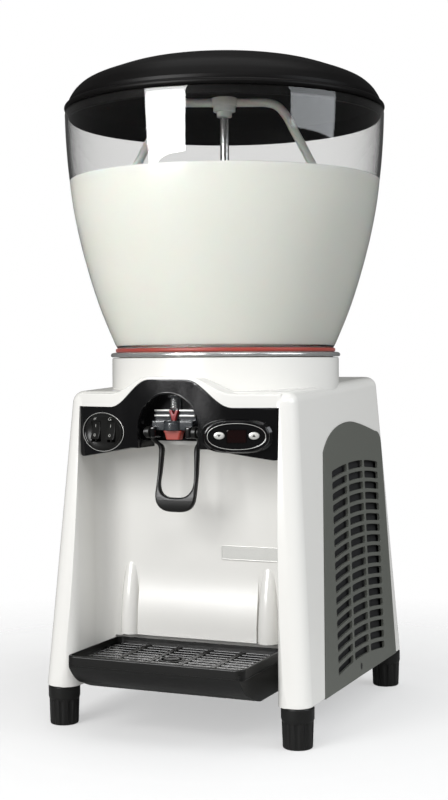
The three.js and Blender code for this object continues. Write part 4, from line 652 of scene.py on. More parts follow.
def clear_bowl():
    """Clear plastic with the faint waves of a blown wall and a light haze."""
    shade = Shade("clear_bowl", Transmission_Weight=1.0, IOR=1.49)
    haze = shade.toned(shade.noise(9, 3), tint("clear"), 0.985, 1)
    return shade.coat(haze, shade.noise(40, 3) * 0.02, shade.noise(7, 2), 0.06, 1.2)


def drink():
    """A smooth milky drink, with a paler film where it meets the wall at the surface."""
    milk = {"Subsurface_Weight": 0.12, "Subsurface_Scale": 0.006, "Coat_Weight": 0.3, "Coat_Roughness": 0.08}
    shade = Shade("drink", **milk)
    level = size("drink_level") * MM
    froth = shade.spread(shade.axis("Z"), level - 0.006, level) * shade.noise(160, 3)
    body = shade.toned(shade.noise(5, 2), tint("drink"), 0.97, 1.02)
    film = shade.mixed(froth, body, (0.93, 0.93, 0.9))
    return shade.coat(film, 0.3 + froth * 0.2, shade.cells(420) * froth, 0.3, 0.3)


def steel():
    """Polished steel with fine level brush lines and a slow tarnish."""
    shade = Shade("steel", Metallic=0.75)
    brush = shade.noise(90, 4, shade.stretched(1, 1, 30), 0.6)
    tarnish = shade.noise(14, 3)
    gloss = 0.2 + (brush - 0.5) * 0.16 + (tarnish - 0.5) * 0.08
    return shade.coat(shade.toned(tarnish, tint("steel"), 0.92, 1.04), gloss, brush, 0.25, 0.05)


def sheet_steel():
    """Dull zinc-plated sheet, with the spangle of the plating."""
    shade = Shade("sheet_steel", Metallic=0.9)
    spangle = shade.cells(70)
    zinc = shade.mixed(spangle, (0.36, 0.37, 0.38), (0.52, 0.53, 0.54))
    return shade.coat(zinc, 0.34 + spangle * 0.2, shade.noise(300, 2), 0.15, 0.05)


def red_rubber():
    """Dull red silicone with mould specks."""
    return moulded("red_rubber", tint("gasket"), 0.46, 700, 0.08, 0.08, 0.1, Sheen_Weight=0.15)


def red_plastic():
    """Red plastic with a thin gloss."""
    return moulded("red_plastic", tint("red"), 0.26, 900, 0.04, 0.06, 0.08, Coat_Weight=0.3)


def milky_plastic():
    """Milky plastic that light goes into, with faint flow lines of the mould."""
    shade = Shade("milky_plastic", Subsurface_Weight=0.3, Subsurface_Scale=0.004, Coat_Weight=0.2)
    flow = shade.noise(20, 3, shade.stretched(1, 1, 0.3))
    lines = shade.toned(flow, tint("milky"), 0.93, 1.02)
    return shade.coat(lines, 0.28 + flow * 0.12, shade.noise(500, 2), 0.15, 0.05)


def smoke_plastic():
    """Smoky clear plastic, cloudy with use."""
    shade = Shade("smoke_plastic", Transmission_Weight=0.55, IOR=1.45, Coat_Weight=0.3)
    cloud = shade.noise(45, 3)
    smoke = shade.toned(cloud, tint("smoke"), 0.8, 1.25)
    return shade.coat(smoke, 0.12 + cloud * 0.14, shade.noise(90, 2), 0.1, 0.1)


def foam():
    """Poured foam: cells under a rough skin."""
    shade = Shade("foam")
    pores = shade.cells(420)
    skin = shade.mixed(pores, (0.7, 0.64, 0.45), (0.86, 0.82, 0.66))
    return shade.coat(skin, 0.85 + pores * 0.1, pores + shade.noise(60, 3), 0.6, 0.5)


def copper():
    """Drawn copper with darker patches of oxide."""
    shade = Shade("copper", Metallic=1.0)
    oxide = shade.spread(shade.noise(55, 4), 0.45, 0.75)
    patches = shade.mixed(oxide, (0.82, 0.41, 0.26), (0.32, 0.15, 0.1))
    return shade.coat(patches, 0.22 + oxide * 0.3, shade.noise(260, 2), 0.15, 0.04)


def dark_paint():
    """Stoved black paint with orange-peel waves and a little dust."""
    shade = Shade("dark_paint", Coat_Weight=0.15)
    dust = shade.noise(30, 4)
    paint = shade.mixed(dust, (0.018, 0.018, 0.019), (0.04, 0.039, 0.037))
    return shade.coat(paint, 0.3 + dust * 0.2, shade.noise(180, 2), 0.3, 0.15)


def board_green():
    """Circuit board: green lacquer over tracks."""
    shade = Shade("board_green", Coat_Weight=0.4)
    tracks = shade.spread(shade.cells(190, "DISTANCE_TO_EDGE"), 0.02, 0.06)
    lacquer = shade.mixed(tracks, (0.03, 0.2, 0.07), (0.008, 0.075, 0.03))
    return shade.coat(lacquer, 0.26 + tracks * 0.12, 1 - tracks, 0.3, 0.06)


def dark_red():
    """Dark red window in front of an unlit display."""
    shade = Shade("dark_red", Coat_Weight=0.6, Coat_Roughness=0.04, Transmission_Weight=0.2)
    depth = shade.noise(60, 2)
    glass = shade.mixed(depth, (0.006, 0.001, 0.001), (0.011, 0.0015, 0.0015))
    return shade.coat(glass, 0.08 + depth * 0.05, shade.noise(20, 2), 0.05, 0.1)


# Besides the buttons and the name plate, this finish colours the painted highlights on the tap's ribs and
# round the switch dish and the display pod.
def silver():
    """Pale silver lacquer with fine flakes."""
    shade = Shade("silver", Metallic=0.35, Coat_Weight=0.3)
    flakes = shade.cells(2600)
    return shade.coat(shade.toned(flakes, tint("silver"), 0.9, 1.08), 0.26 + flakes * 0.16, flakes, 0.1, 0.02)


# This finish colours the dark sheet of painted shade behind the side panels' louvres.
def black_rubber():
    """Dull black rubber with a bloom."""
    return moulded("black_rubber", (0.022, 0.022, 0.023), 0.6, 600, 0.1, 0.15, 0.12)


def printed():
    """Pale printed marks, a little worn."""
    shade = Shade("printed")
    worn = shade.noise(900, 3)
    return shade.coat(shade.toned(worn, tint("mark"), 0.82, 1), 0.45 + worn * 0.1)


MAKERS = {
    maker.__name__: maker
    for maker in (
        white_casing, black_gloss, black_satin, black_lid, grey_panel, clear_bowl, drink, steel, sheet_steel,
        red_rubber, red_plastic, milky_plastic, smoke_plastic, foam, copper, dark_paint, board_green,
        dark_red, silver, black_rubber, printed,
    )
}
MADE = {}


def finish(name):
    """The material of a finish, made the first time that it is asked for."""
    if name not in MADE:
        MADE[name] = MAKERS[name]().material
    return MADE[name]


# Casing: leaning walls, a deck that rises to the rear, a hood over the fascia and a round neck

FLOOR_Z = 42
DECK_Z = 357
HALF_LOW, HALF_TOP = 151, 129
FRONT_LOW, FRONT_TOP = -152.4, -131
REAR_LOW, REAR_TOP = 189, 169
DECK_RISE = 13
SIDE_LEAN = (HALF_LOW - HALF_TOP) / (DECK_Z - FLOOR_Z)
FRONT_LEAN = (FRONT_TOP - FRONT_LOW) / (DECK_Z - FLOOR_Z)
REAR_LEAN = (REAR_LOW - REAR_TOP) / (DECK_Z - FLOOR_Z)
WALL = 4
NECK_RADIUS, NECK_TOP = 127.4, 393.2
CEILING_Z = 301
BAY_HALF, BAY_BACK, BAY_MOUTH = 114.6, -78, 18.4
SILL_Z = 91
TONGUE_X, TONGUE_HALF, TONGUE_LOW, TONGUE_TOP = 62, 8, 45.3, 50.3
COVER_Z, INLET_X, INLET_Z = 192, 62, 96
FASCIA_HALF, FASCIA_Y = 114.3, -155
BEND_RADIUS = 280
BEND_CENTRE = FASCIA_Y + BEND_RADIUS
CROWN_Z, CROWN_HALF, SHOULDER_X = 370, 21, 70


def bend_y(x):
    """Where the curved front lies at a place across it."""
    return BEND_CENTRE - math.sqrt(BEND_RADIUS ** 2 - x * x)


def arch_z(x, side_z, crown_z):
    """Height of the arch over the tap at a place across it."""
    run = min(max((abs(x) - CROWN_HALF) / (SHOULDER_X - CROWN_HALF), 0), 1)
    return side_z + (crown_z - side_z) * (1 + math.cos(math.pi * run)) / 2


def body_ring(z, inset, rise=0):
    """The four corners of the body at a height; the rear two stand higher by the rise."""
    drop = DECK_Z - z
    half = HALF_TOP + drop * SIDE_LEAN - inset
    front = FRONT_TOP - drop * FRONT_LEAN + inset
    rear = REAR_TOP + drop * REAR_LEAN - inset
    far_half = half - rise * SIDE_LEAN
    far = rear - rise * REAR_LEAN
    return [(-half, front, z), (half, front, z), (far_half, far, z + rise), (-far_half, far, z + rise)]


def body_form(name, inset, low):
    """The body, drawn inward by an inset, with its corners and its deck rounded."""
    form = lofted(name, [body_ring(low, inset), body_ring(DECK_Z - inset, inset, DECK_RISE)])
    edit(form)
    choose(lambda middle, way: abs(way.z) > 0.8)
    soften(size("casing_corner") - inset, 8)
    choose(lambda middle, way: abs(way.z) < 0.2 and middle.z > DECK_Z - 2 * WALL)
    soften(size("deck_round") - inset, 6)
    if not inset:
        choose(lambda middle, way: middle.z < low + 0.1)
        soften(1.6, 2)
    rest()
    return form


def hood_form():
    """The hood: a grid laid over the arch, its front bent to the fascia's radius, then extruded down."""
    half, side_z = 116, 355.5
    front_rise, back_rise, back_y = 3.5, 2, -112
    rest()
    bpy.ops.mesh.primitive_grid_add(x_subdivisions=72, y_subdivisions=8, size=1)
    form = bpy.context.object
    form.name = "hood"
    for point in form.data.vertices:
        x = point.co.x * 2 * half
        front = bend_y(x)
        y = front + (back_y - front) * (point.co.y + 0.5)
        rise = front_rise + (back_rise - front_rise) * (y - FASCIA_Y) / (back_y - FASCIA_Y)
        point.co = Vector((x, y, arch_z(x, side_z, CROWN_Z + rise))) * MM
    edit(form)
    bpy.ops.mesh.extrude_region_move(TRANSFORM_OT_translate={"value": (0, 0, -2 * side_z * MM)})
    bpy.ops.transform.resize(value=(1, 1, 0), center_override=(0, 0, CEILING_Z * MM))
    choose(lambda middle, way: (
        abs(middle.y - bend_y(middle.x)) < 0.4 and middle.z > side_z - 1 and abs(way.y) < 0.9
    ))
    soften(size("hood_edge"), 4)
    face_out()
    return form


def bay_outline(grow):
    """The bay seen from above: its back corners are round, and its mouth flares round the legs."""
    half, back, corner, mouth, mouth_y = BAY_HALF + grow, BAY_BACK + grow, 20 + grow, BAY_MOUTH - grow, -134
    mouth_x, far = BAY_HALF + BAY_MOUTH, -260
    return (
        [(-mouth_x, far), (mouth_x, far)]
        + arc(mouth_x, mouth_y, mouth, 270, 180, 12)
        + arc(half - corner, back - corner, corner, 0, 90, 10)
        + arc(corner - half, back - corner, corner, 90, 180, 10)
        + arc(-mouth_x, mouth_y, mouth, 0, -90, 12)
    )


def bay_form(name, grow):
    """What is cut out between the legs, or that grown by the wall."""
    top = CEILING_Z + grow
    low = FLOOR_Z - 12
    form = placed(flat(name, [bay_outline(grow)], top - low), at(0, 0, (top + low) / 2))
    sill_front, corner, sill_half, sill_end_z, top_half = -98, 9, 100.2, 87.4, 91.5
    sill_back = BAY_BACK + corner + grow
    deep, middle = (sill_back - sill_front) / 2, (sill_back + sill_front) / 2
    plan = rounded(sill_half + grow, deep, corner + grow, 0, middle, 8)
    sill = layer("sill", [plan], low - 1, sill_end_z + grow)
    low_corner, high_corner = (-top_half - grow, sill_front, 80), (top_half + grow, sill_back, SILL_Z + grow)
    weld(sill, block("sill top", low_corner, high_corner))
    return weld(form, sill)


def apron_form():
    """The lower middle of the back wall, which stands forward under a soft knee."""
    proud, knee_low, knee_top, half, inner, steps = 7, 100, 167, 70, -66, 20
    profile = [(inner, SILL_Z), (BAY_BACK - proud, SILL_Z)]
    for i in range(steps + 1):
        y = BAY_BACK - proud * (1 + math.cos(math.pi * i / steps)) / 2
        profile.append((y, knee_low + (knee_top - knee_low) * i / steps))
    return sideways("apron", [profile + [(inner, knee_top)]], 2 * half)


def gusset_form(side):
    """A round gusset beside the apron, which sinks into the back wall as it rises."""
    levels = ((11, -90, SILL_Z), (10.8, -89.6, 108), (10.3, -88.2, 126), (9.6, -85.9, 142), (8.8, -82.8, 156),
              (8.2, -80, 166), (7.7, -77.4, 173))
    return lofted("gusset", [
        at_height(arc(side * 81, front + radius, radius, 0, 337.5, 15), z) for radius, front, z in levels
    ])


def on_wall(lean, along, away, place):
    """The frame of a leaning wall, placed at its foot: X runs along it, Y up it and Z out of it."""
    tilt = math.atan(lean)
    up = Vector(away) * -math.sin(tilt) + Vector((0, 0, math.cos(tilt)))
    out = Vector(away) * math.cos(tilt) + Vector((0, 0, math.sin(tilt)))
    return place @ Matrix((along, up, out)).transposed().to_4x4()


def onto_side():
    """The frame of the right wall: X runs to the rear."""
    return on_wall(SIDE_LEAN, (0, 1, 0), (1, 0, 0), at(HALF_LOW, 0, FLOOR_Z))


def onto_rear(x, z):
    """A frame on the rear wall, across it and at a height of it: X runs to the left from the front."""
    return on_wall(REAR_LEAN, (-1, 0, 0), (0, 1, 0), at(0, REAR_LOW, FLOOR_Z)) @ at(x, up_rear(z), 0)


def up_side(z):
    """Distance up the side wall for a height."""
    return (z - FLOOR_Z) / math.cos(math.atan(SIDE_LEAN))


def up_rear(z):
    """Distance up the rear wall for a height."""
    return (z - FLOOR_Z) / math.cos(math.atan(REAR_LEAN))


def panel_outline(grow, low=FLOOR_Z):
    """A side panel's outline in Y and up the wall."""
    front_low, front_top, rear, shoulder, peak_z, rear_shoulder = -98, -52, 156, 292, 320.5, 286
    run, rear_run = 26, 20
    peak = up_side(peak_z) + grow
    peak_y = front_top + (rear - front_top) * 0.45
    high = up_side(rear_shoulder)
    lean = (front_top - front_low) / (shoulder - FLOOR_Z)
    points = [(rear + grow, up_side(low)), (rear + grow, high)]
    points += bowed(points[-1], (rear + grow, high + rear_run), (rear - rear_run, high + rear_run + grow))
    points += bowed(points[-1], (peak_y + run, peak), (peak_y, peak))
    points += bowed(points[-1], (front_top + run, peak - grow), (front_top - grow, up_side(shoulder)), 14)
    points.append((front_low - grow + lean * (low - FLOOR_Z), up_side(low)))
    return points


def side_seats():
    """The seats of both side panels, with the windows behind them."""
    seat = layer("seat", [panel_outline(0.4, FLOOR_Z - 6)], -2.7, 12)
    window = layer("window", [panel_outline(-7, FLOOR_Z + 9)], -14, -2)
    right = placed(weld(seat, window), onto_side())
    return right, mirrored(right)


def fascia_bottom(drop):
    """The lower edge of the fascia, from left to right, with its round corners."""
    half, low, corner, slot_half, slot_low = FASCIA_HALF + drop, 287 - drop, 6, 44, 299 - drop
    begin = (-half, low + corner)
    left = [begin] + bowed(begin, (-half, low), (corner - half, low + 1), 5) + [(-slot_half, slot_low)]
    return left + [(-x, z) for x, z in reversed(left)]


def fascia_outline(grow, notch=()):
    """The fascia's outline across and up, with a notch from below for the tap where one is given."""
    half, steps = FASCIA_HALF + grow, 60
    places = [half - 2 * half * i / steps for i in range(steps + 1)]
    arch = [(x, arch_z(x, 341 + grow, CROWN_Z + grow)) for x in places]
    low = fascia_bottom(grow)
    middle = len(low) // 2
    return low[:middle] + list(notch) + low[middle:] + arch


def make_casing():
    """Builds the white casing."""
    shell = body_form("casing_shell", 0, FLOOR_Z)
    weld(shell, hood_form())
    bay = carve(bay_form("bay", 0), apron_form(), gusset_form(-1), gusset_form(1))
    inside = carve(body_form("inside", WALL, FLOOR_Z - 12), bay_form("bay wall", WALL))
    seat = standing("seat", [fascia_outline(size("seam"))], 64)
    carve(shell, bay, inside, placed(seat, at(0, -176, 0)), *side_seats())
    back = layer("rear window", [rounded(96, 118, 8)], -12, 3)
    carve(shell, placed(back, onto_rear(0, COVER_Z)))
    play = 0.3
    half, low, high = TONGUE_HALF + play, TONGUE_LOW - 2 * play, TONGUE_TOP + play
    for x in (-TONGUE_X, TONGUE_X):
        carve(shell, block("tongue slot", (x - half, -90, low), (x + half, -58, high)))
    low, foot, edge = 347, 111, 1.6
    inner = NECK_RADIUS - WALL
    neck = [(foot, low), (NECK_RADIUS, low), (NECK_RADIUS, NECK_TOP - edge),
            (NECK_RADIUS - 0.5, NECK_TOP - 0.5), (NECK_RADIUS - edge, NECK_TOP),
            (inner, NECK_TOP), (inner, low + WALL), (foot, low + WALL)]
    weld(shell, turned("neck", neck, ROUND))
    dress(shell, "casing_shell", "cabinet", "white_casing", ["casing"], 28)


# Fascia with the opening for the tap, the switches, the display pod and the name plate


def tunnel(half, top, low, steps):
    """An upright slot with a round top."""
    return [(-half, low), (half, low)] + arc(0, top - half, half, 0, 180, steps)


def sliced(piece, planes, way=(1, 0, 0)):
    """Cuts the faces of a piece along planes across it, so that it can be bent."""
    edit(piece)
    for place in planes:
        bpy.ops.mesh.select_all(action="SELECT")
        bpy.ops.mesh.bisect(plane_co=[place * c * MM for c in way], plane_no=way)
    rest()
    return piece


def bent(piece):
    """Bends a piece that stands with its front at Y zero to the radius of the fascia."""
    for point in piece.data.vertices:
        x, y = point.co.x / MM, point.co.y / MM
        angle = math.asin(x / BEND_RADIUS)
        point.co.x = (BEND_RADIUS - y) * math.sin(angle) * MM
        point.co.y = (BEND_CENTRE - (BEND_RADIUS - y) * math.cos(angle)) * MM
    return piece


def drawn_back(piece, depth, proud, back_y):
    """Runs a standing piece from the curved front, a little proud of it, to a flat back."""
    for point in piece.data.vertices:
        share = point.co.y / MM / depth
        front = bend_y(point.co.x / MM) - proud
        point.co.y = (front * (1 - share) + back_y * share) * MM
    return piece


def on_front(x, z):
    """The frame of a piece on the curved front, whose depth runs along Y."""
    angle = math.asin(x / BEND_RADIUS)
    return at(x, bend_y(x), z) @ Matrix.Rotation(angle, 4, "Z")


SWITCH_X, SWITCH_Z = -80, 314.7
ROCKER_SHIFT, ROCKER_SPREAD = -2, 11
POD_X, POD_Z = 74.5, 312.8
BUTTON_X, BUTTON_Z = 17.8, 0.8
OPENING_HALF, OPENING_TOP = 34.5, 355.5
BEND_END = 108


def make_fascia():
    """Builds the gloss black fascia with the lined opening."""
    low, half, top = 299, OPENING_HALF, OPENING_TOP
    liner_deep, liner_back, floor_deep, floor_back = 42, -112.6, 30, -113.2
    notch = [(-half, low)] + list(reversed(arc(0, top - half, half, 0, 180, 24))) + [(half, low)]
    holes = [oval(26.8, 20, SWITCH_X, SWITCH_Z, 56), oval(28, 12, POD_X, POD_Z, 40, 2.6)]
    sheet = standing("fascia_sheet", [fascia_outline(0, notch)] + holes, 4, 0.7, 2)
    bent(sliced(sheet, range(-BEND_END, BEND_END + 1, 6)))
    edge, inner = (
        tunnel(half + grow, top + grow, low + 0.5, 32)[1:] + [(-half - grow, low + 0.5)] for grow in (2.2, 0)
    )
    loop = edge + list(reversed(inner))
    liner = drawn_back(standing("liner", [loop], liner_deep, 0.5, 2), liner_deep, 0.7, liner_back)
    back = placed(standing("liner_back", [tunnel(half + 1, top + 1, 318, 32)], 2), at(0, -130.3, 0))
    weld(back, block("middle", (-16.5, -130.2, 309), (16.5, -128.4, 340)))
    carve(back, rod("spigot hole", (0, -129, 322), 6.8, 8, "Y"))
    deep = block("deep", (-half - 1, floor_back, 305), (half + 1, floor_back + 0.8, 335))
    strip = fascia_bottom(0) + [(x, z + 2) for x, z in reversed(fascia_bottom(0))]
    floor = sliced(standing("floor", [strip], floor_deep), range(-BEND_END, BEND_END + 1, 12))
    drawn_back(floor, floor_deep, -1.5, floor_back)
    carve(floor, block("gap", (-half, -170, 280), (half, -100, 320)))
    group(sheet, liner, back, deep, floor)
    dress(sheet, "fascia_sheet", "cabinet", "black_gloss", ["fascia"], 35)


def rocker_x(side):
    """Where a rocker lies across the switch dish."""
    return side * ROCKER_SPREAD + ROCKER_SHIFT


def make_switches():
    """Builds the switch dish with a thin ring of painted highlight round it, its two rockers and the printed
    marks.
    """
    rises = ((0.4, 7), (0.3, 0.6), (0.3, -0.1), (0.6, -0.4), (1.5, -0.4), (1.9, -0.05), (3.2, 1.2),
             (6.2, 2.4), (10, 2.95))
    dish = lofted("switch_plate", [
        at_depth(oval(27 - shrink, 20.2 - shrink * 0.86, steps=64), y) for shrink, y in rises
    ])
    for x in (rocker_x(-1), rocker_x(1)):
        carve(dish, block("window", (x - 6.3, -2, -11.1), (x + 6.3, 9, 11.1), 0.8, 2))
    placed(dish, on_front(SWITCH_X, SWITCH_Z))
    dress(dish, "switch_plate", "cabinet", "black_satin", ["switch_dish"], 30)
    # The thin silver ring round the dish is a painted highlight along the dish's rim.
    loops = [oval(29 - shrink, 20.6 - shrink, SWITCH_X - 1.2, SWITCH_Z, 72) for shrink in (0, 0.5)]
    ring = placed(standing("switch_ring", loops, 0.8, 0.15), at(0, -0.35, 0))
    dress(bent(ring), "switch_ring", "cabinet", "silver")
    for side, name in ((-1, "cooling"), (1, "stirrer")):
        make_rocker(side, name)
        make_icon(side, name)


def rocker_frame(side):
    """Where a rocker stands, leaning on its pivot."""
    lean = at(rocker_x(side), 9, 0) @ turn(-10, "X") @ at(0, -9, 0)
    return on_front(SWITCH_X, SWITCH_Z) @ lean


def make_rocker(side, name):
    """Builds one rocker with a dished face and its on and off marks."""
    half, steps = 9.4, 12
    shares = [1 - 2 * i / steps for i in range(steps + 1)]
    face = [(0.4 + 1.4 * (1 - share ** 2), half * share) for share in shares]
    rocker = sideways("rocker", [face + [(12.5, -6.5), (12.5, 6.5)]], 11.8, 0.55, 2)
    dress(placed(rocker, rocker_frame(side)), f"rocker_key_{name}", f"rocker_{name}", "black_satin",
          [f"rocker_{name}"], 30)
    bar = standing("bar", [rounded(0.35, 1.5, 0.3, 0, 5)], 0.3, 0.1)
    ring = standing("ring", [oval(1.5, 1.5, 0, -5, 28), oval(0.95, 0.95, 0, -5, 28)], 0.3, 0.1)
    marks = placed(group(bar, ring), rocker_frame(side) @ at(0, 0.68, 0))
    dress(marks, f"rocker_marks_{name}", f"rocker_{name}", "printed")


def make_icon(side, name):
    """Prints a small sign over a rocker: a snow crystal, or a stirrer that goes round."""
    if side < 0:
        parts = [
            placed(standing("ray", [rounded(0.22, 2.1, 0.2)], 0.2, 0.06), turn(60 * i, "Y")) for i in range(3)
        ]
    else:
        ends = arc(0, 0, 2, 40, 320, 24) + list(reversed(arc(0, 0, 1.5, 40, 320, 24)))
        tip = [(2.9, -1.1), (1.1, -2.1), (1.1, 0)]
        parts = [standing(part, [loop], 0.2, 0.05) for part, loop in (("round", ends), ("tip", tip))]
    place = on_front(SWITCH_X, SWITCH_Z) @ at(rocker_x(side), 0.62, 14.1) @ turn(-32, "X")
    dress(placed(group(*parts), place), f"sign_{name}", "cabinet", "printed")


def make_pod():
    """Builds the display pod with its recess, window and buttons, and a thin oval of painted highlight on its
    bezel.
    """
    on_pod = on_front(POD_X, POD_Z)
    ovals = (
        (35.7, 16.6, 2.6, 2.8), (36.5, 17.4, 1.4, 2.8), (36.5, 17.4, -3.2, 2.8), (36.2, 17.1, -4.4, 2.8),
        (34.9, 16.5, -5.4, 2.7), (33.5, 16.1, -6.4, 2.6), (32.9, 15.9, -7.7, 2.55), (32.3, 15.5, -8.3, 2.5),
        (31.6, 14.9, -8.5, 2.4), (30.6, 13.9, -8.5, 2.25), (30.1, 13.5, -8.3, 2.2), (29.7, 13.1, -7.5, 2.15),
        (29.2, 12.7, -7.3, 2.1),
    )
    bezel = lofted("pod_bezel", [
        at_depth(oval(width, height, steps=72, squareness=squareness), y)
        for width, height, y, squareness in ovals
    ])
    for x in (-BUTTON_X, BUTTON_X):
        carve(bezel, placed(standing("hole", [oval(5.8, 4.1, x, BUTTON_Z, 40)], 8), at(0, -9, 0)))
    carve(bezel, block("window hole", (-10.3, -9, -6.9), (10.3, -1, 6.9)))
    dress(placed(bezel, on_pod), "pod_bezel", "cabinet", "black_gloss", ["display_pod"], 24)
    # The thin silver oval on the bezel is a painted highlight along the bezel's raised rim.
    loops = [oval(30 - shrink, 13.4 - shrink, steps=72, squareness=2.2) for shrink in (0, 0.4)]
    line = placed(standing("line", loops, 0.5, 0.1), on_pod @ at(0, -8.6, 0))
    dress(line, "pod_line", "cabinet", "silver")
    window = lofted("window", [
        at_depth(rounded(10 - shrink, 6.6 - shrink, 1.6 - shrink, steps=5), y)
        for shrink, y in ((0, -2.2), (0, -6.6), (0.25, -7), (0.7, -7.15))
    ])
    dress(placed(window, on_pod), "pod_window", "cabinet", "dark_red", ["display_window"])
    for side, name in ((-1, "down"), (1, "up")):
        make_button(side, name)


def make_button(side, name):
    """Builds one crowned oval button with its arrow."""
    cap = lofted("button", [
        at_depth(oval(5.5 - shrink, 3.8 - shrink, steps=40), y)
        for shrink, y in ((0, -1.9), (0, -7.6), (0.25, -8.1), (0.8, -8.35), (1.9, -8.5), (3, -8.55))
    ])
    place = on_front(POD_X, POD_Z) @ at(side * BUTTON_X, 0, BUTTON_Z)
    dress(placed(cap, place), f"button_cap_{name}", f"button_{name}", "silver", [f"button_{name}"])
    arrow = standing("arrow", [[(-1.9, -1.2 * side), (1.9, -1.2 * side), (0, 1.5 * side)]], 0.2, 0.05)
    placed(arrow, place @ at(0, -8.64, 0))
    dress(arrow, f"button_arrow_{name}", f"button_{name}", "dark_paint")


def make_badge():
    """Builds the bare name plate with its thin raised edge."""
    outline = rounded(32.5, 7.5, 1.5)
    plate = standing("name_plate", [outline], 0.9, 0.2)
    placed(plate, at(0, 0.3, 0))
    lip = standing("lip", [outline, rounded(31.7, 6.7, 0.9)], 0.6, 0.2)
    placed(group(plate, lip), at(60.5, BAY_BACK - 1.5, 184.5))
    dress(plate, "name_plate", "cabinet", "silver", ["badge_plate"])


# Tap: smoky block, plunger with its spring, nozzle and push handle

STEM_Y = -136.9
PIVOT_Y, PIVOT_Z = -143.5, 315.5
TAP_HALF = 23.4
TAP_REAR = -130.6


def make_tap():
    """Builds the tap: the smoky block with its dome, its ribs coloured pale silver as painted highlights, and
    the black lugs for the handle.
    """
    low, top, plate_top, beam_top, post_half, dome_y = 317.5, 327.6, 339, 354.5, 5.5, -141.1
    body = block("tap_block", (-TAP_HALF, -143, low), (TAP_HALF, TAP_REAR, top), 1.4)
    parts = [
        block("plate", (-TAP_HALF, -134.2, low + 0.5), (TAP_HALF, TAP_REAR, plate_top), 0.7),
        block("post", (-post_half, -132.8, low + 0.5), (post_half, TAP_REAR, beam_top), 0.6),
        block("beam", (-post_half, -140.6, beam_top - 3), (post_half, TAP_REAR - 0.2, beam_top), 0.8),
        rod("spigot", (0, -126.2, 322), 6.5, 9.4, "Y", 32, 0.5),
    ]
    weld(body, *parts)
    profile = [(0, low + 0.1), (8.6, low + 0.1), (9, low + 0.5), (9, 324.2), (8.6, 325.6), (7.4, 326.8),
               (5.6, top), (0, top)]
    dome = placed(turned("valve_dome", profile, 40), at(0, dome_y, 0))
    carve(body, rod("dome seat", (0, dome_y, 323), 9.3, 12, sides=40))
    slot = block("slot", (-5.9, -144, top + 0.1), (5.9, -134.3, 346), 0.4, 2)
    for piece, name, replaced in ((body, "tap_block", ["tap_body"]), (dome, "valve_dome", ())):
        chamber = rod("chamber", (0, STEM_Y, 319), 4.2, 12.4, sides=32)
        guide = rod("guide", (0, STEM_Y, 326), 2.5, 12, sides=24)
        carve(piece, twin(slot), chamber, guide)
        dress(piece, name, "cabinet", "smoke_plastic", replaced, 30)
    # The two ribs are coloured pale silver as painted highlights, standing for the light that glossy ribs
    # catch.
    ribs = [block("rib", (-TAP_HALF, -137, z - 2.2), (TAP_HALF, -134.3, z), 0.9) for z in (plate_top, 333.6)]
    dress(carve(group(*ribs), slot), "tap_ribs", "cabinet", "silver", (), 30)
    lug = 3.2
    lugs = [
        block("lug", (x - lug, -149, 309.5), (x + lug, TAP_REAR - 0.1, 321.7), 2.2, 4)
        for x in (lug - TAP_HALF, TAP_HALF - lug)
    ]
    dress(group(*lugs), "tap_lugs", "cabinet", "black_gloss", (), 30)


def make_plunger():
    """Builds the red plunger with its forked head, stem and seal."""
    fork = [(-2.3, 0), (2.3, 0), (2.5, 2.4), (5.4, 10.3), (2.4, 10.3), (0.5, 6.2), (-0.5, 6.2), (-2.4, 10.3),
            (-5.4, 10.3), (-2.5, 2.4)]
    head = placed(standing("plunger", [fork], 4.6, 0.5, 2), at(0, STEM_Y - 2.3, 328.2))
    profile = [(0, 317.8), (3.6, 317.8), (3.9, 318.1), (3.9, 320), (3.6, 320.4), (2.2, 320.6), (2.2, 334),
               (0, 334.6)]
    weld(head, placed(turned("stem", profile, 32), at(0, STEM_Y, 0)))
    dress(head, "plunger_head", "tap_plunger", "red_plastic", ["tap_plunger"], 30)


def make_spring():
    """Winds the spring over the plunger."""
    low, high, turns, radius, wire, lift = 339.6, 350.4, 4, 2.9, 0.8, 2.9
    count = turns * 24
    points = []
    for i in range(count + 1):
        angle = FULL * turns * i / count
        z = low + (high - low) * i / count
        points.append((radius * math.cos(angle), STEM_Y + radius * math.sin(angle), z))
    coil = tube("spring_wire", points, wire, 3, False)
    spring = dress(coil, "spring_wire", "cabinet", "steel", ["tap_spring"], 60)
    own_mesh(spring)


def make_nozzle():
    """Builds the red nozzle: a tapered spout with a flange and a bore."""
    levels = ((7.2, 4.7, 307.7), (7.7, 5.2, 308.3), (9, 5.45, 313.4), (9.3, 5.5, 315.2), (10.2, 5.9, 315.5),
              (10.2, 5.9, 316.9), (9.9, 5.6, 317.2))
    spout = lofted("nozzle_spout", [
        at_height(rounded(half, deep, 2.2, 0, STEM_Y, 5), z) for half, deep, z in levels
    ])
    bore = turned("bore", [(0, 300), (3.9, 300), (3.9, 308.8), (3.2, 309.6), (3.2, 322), (0, 322)], 32)
    carve(spout, placed(bore, at(0, STEM_Y, 0)))
    dress(spout, "nozzle_spout", "cabinet", "red_rubber", ["tap_nozzle"], 30)


def handle_side(out, arm, foot, bottom, corner):
    """One flank of the handle's loop, from the pivot down to the middle of its foot."""
    points = [(out, PIVOT_Z), (out, 309.5)]
    points += bowed(points[-1], (out, 305), ((out + arm) / 2, 302.6), 4)
    points += bowed(points[-1], (arm, 300.4), (arm, 295), 4)
    points.append((foot, bottom + corner))
    return points + bowed(points[-1], (foot, bottom), (foot - corner, bottom), 10)


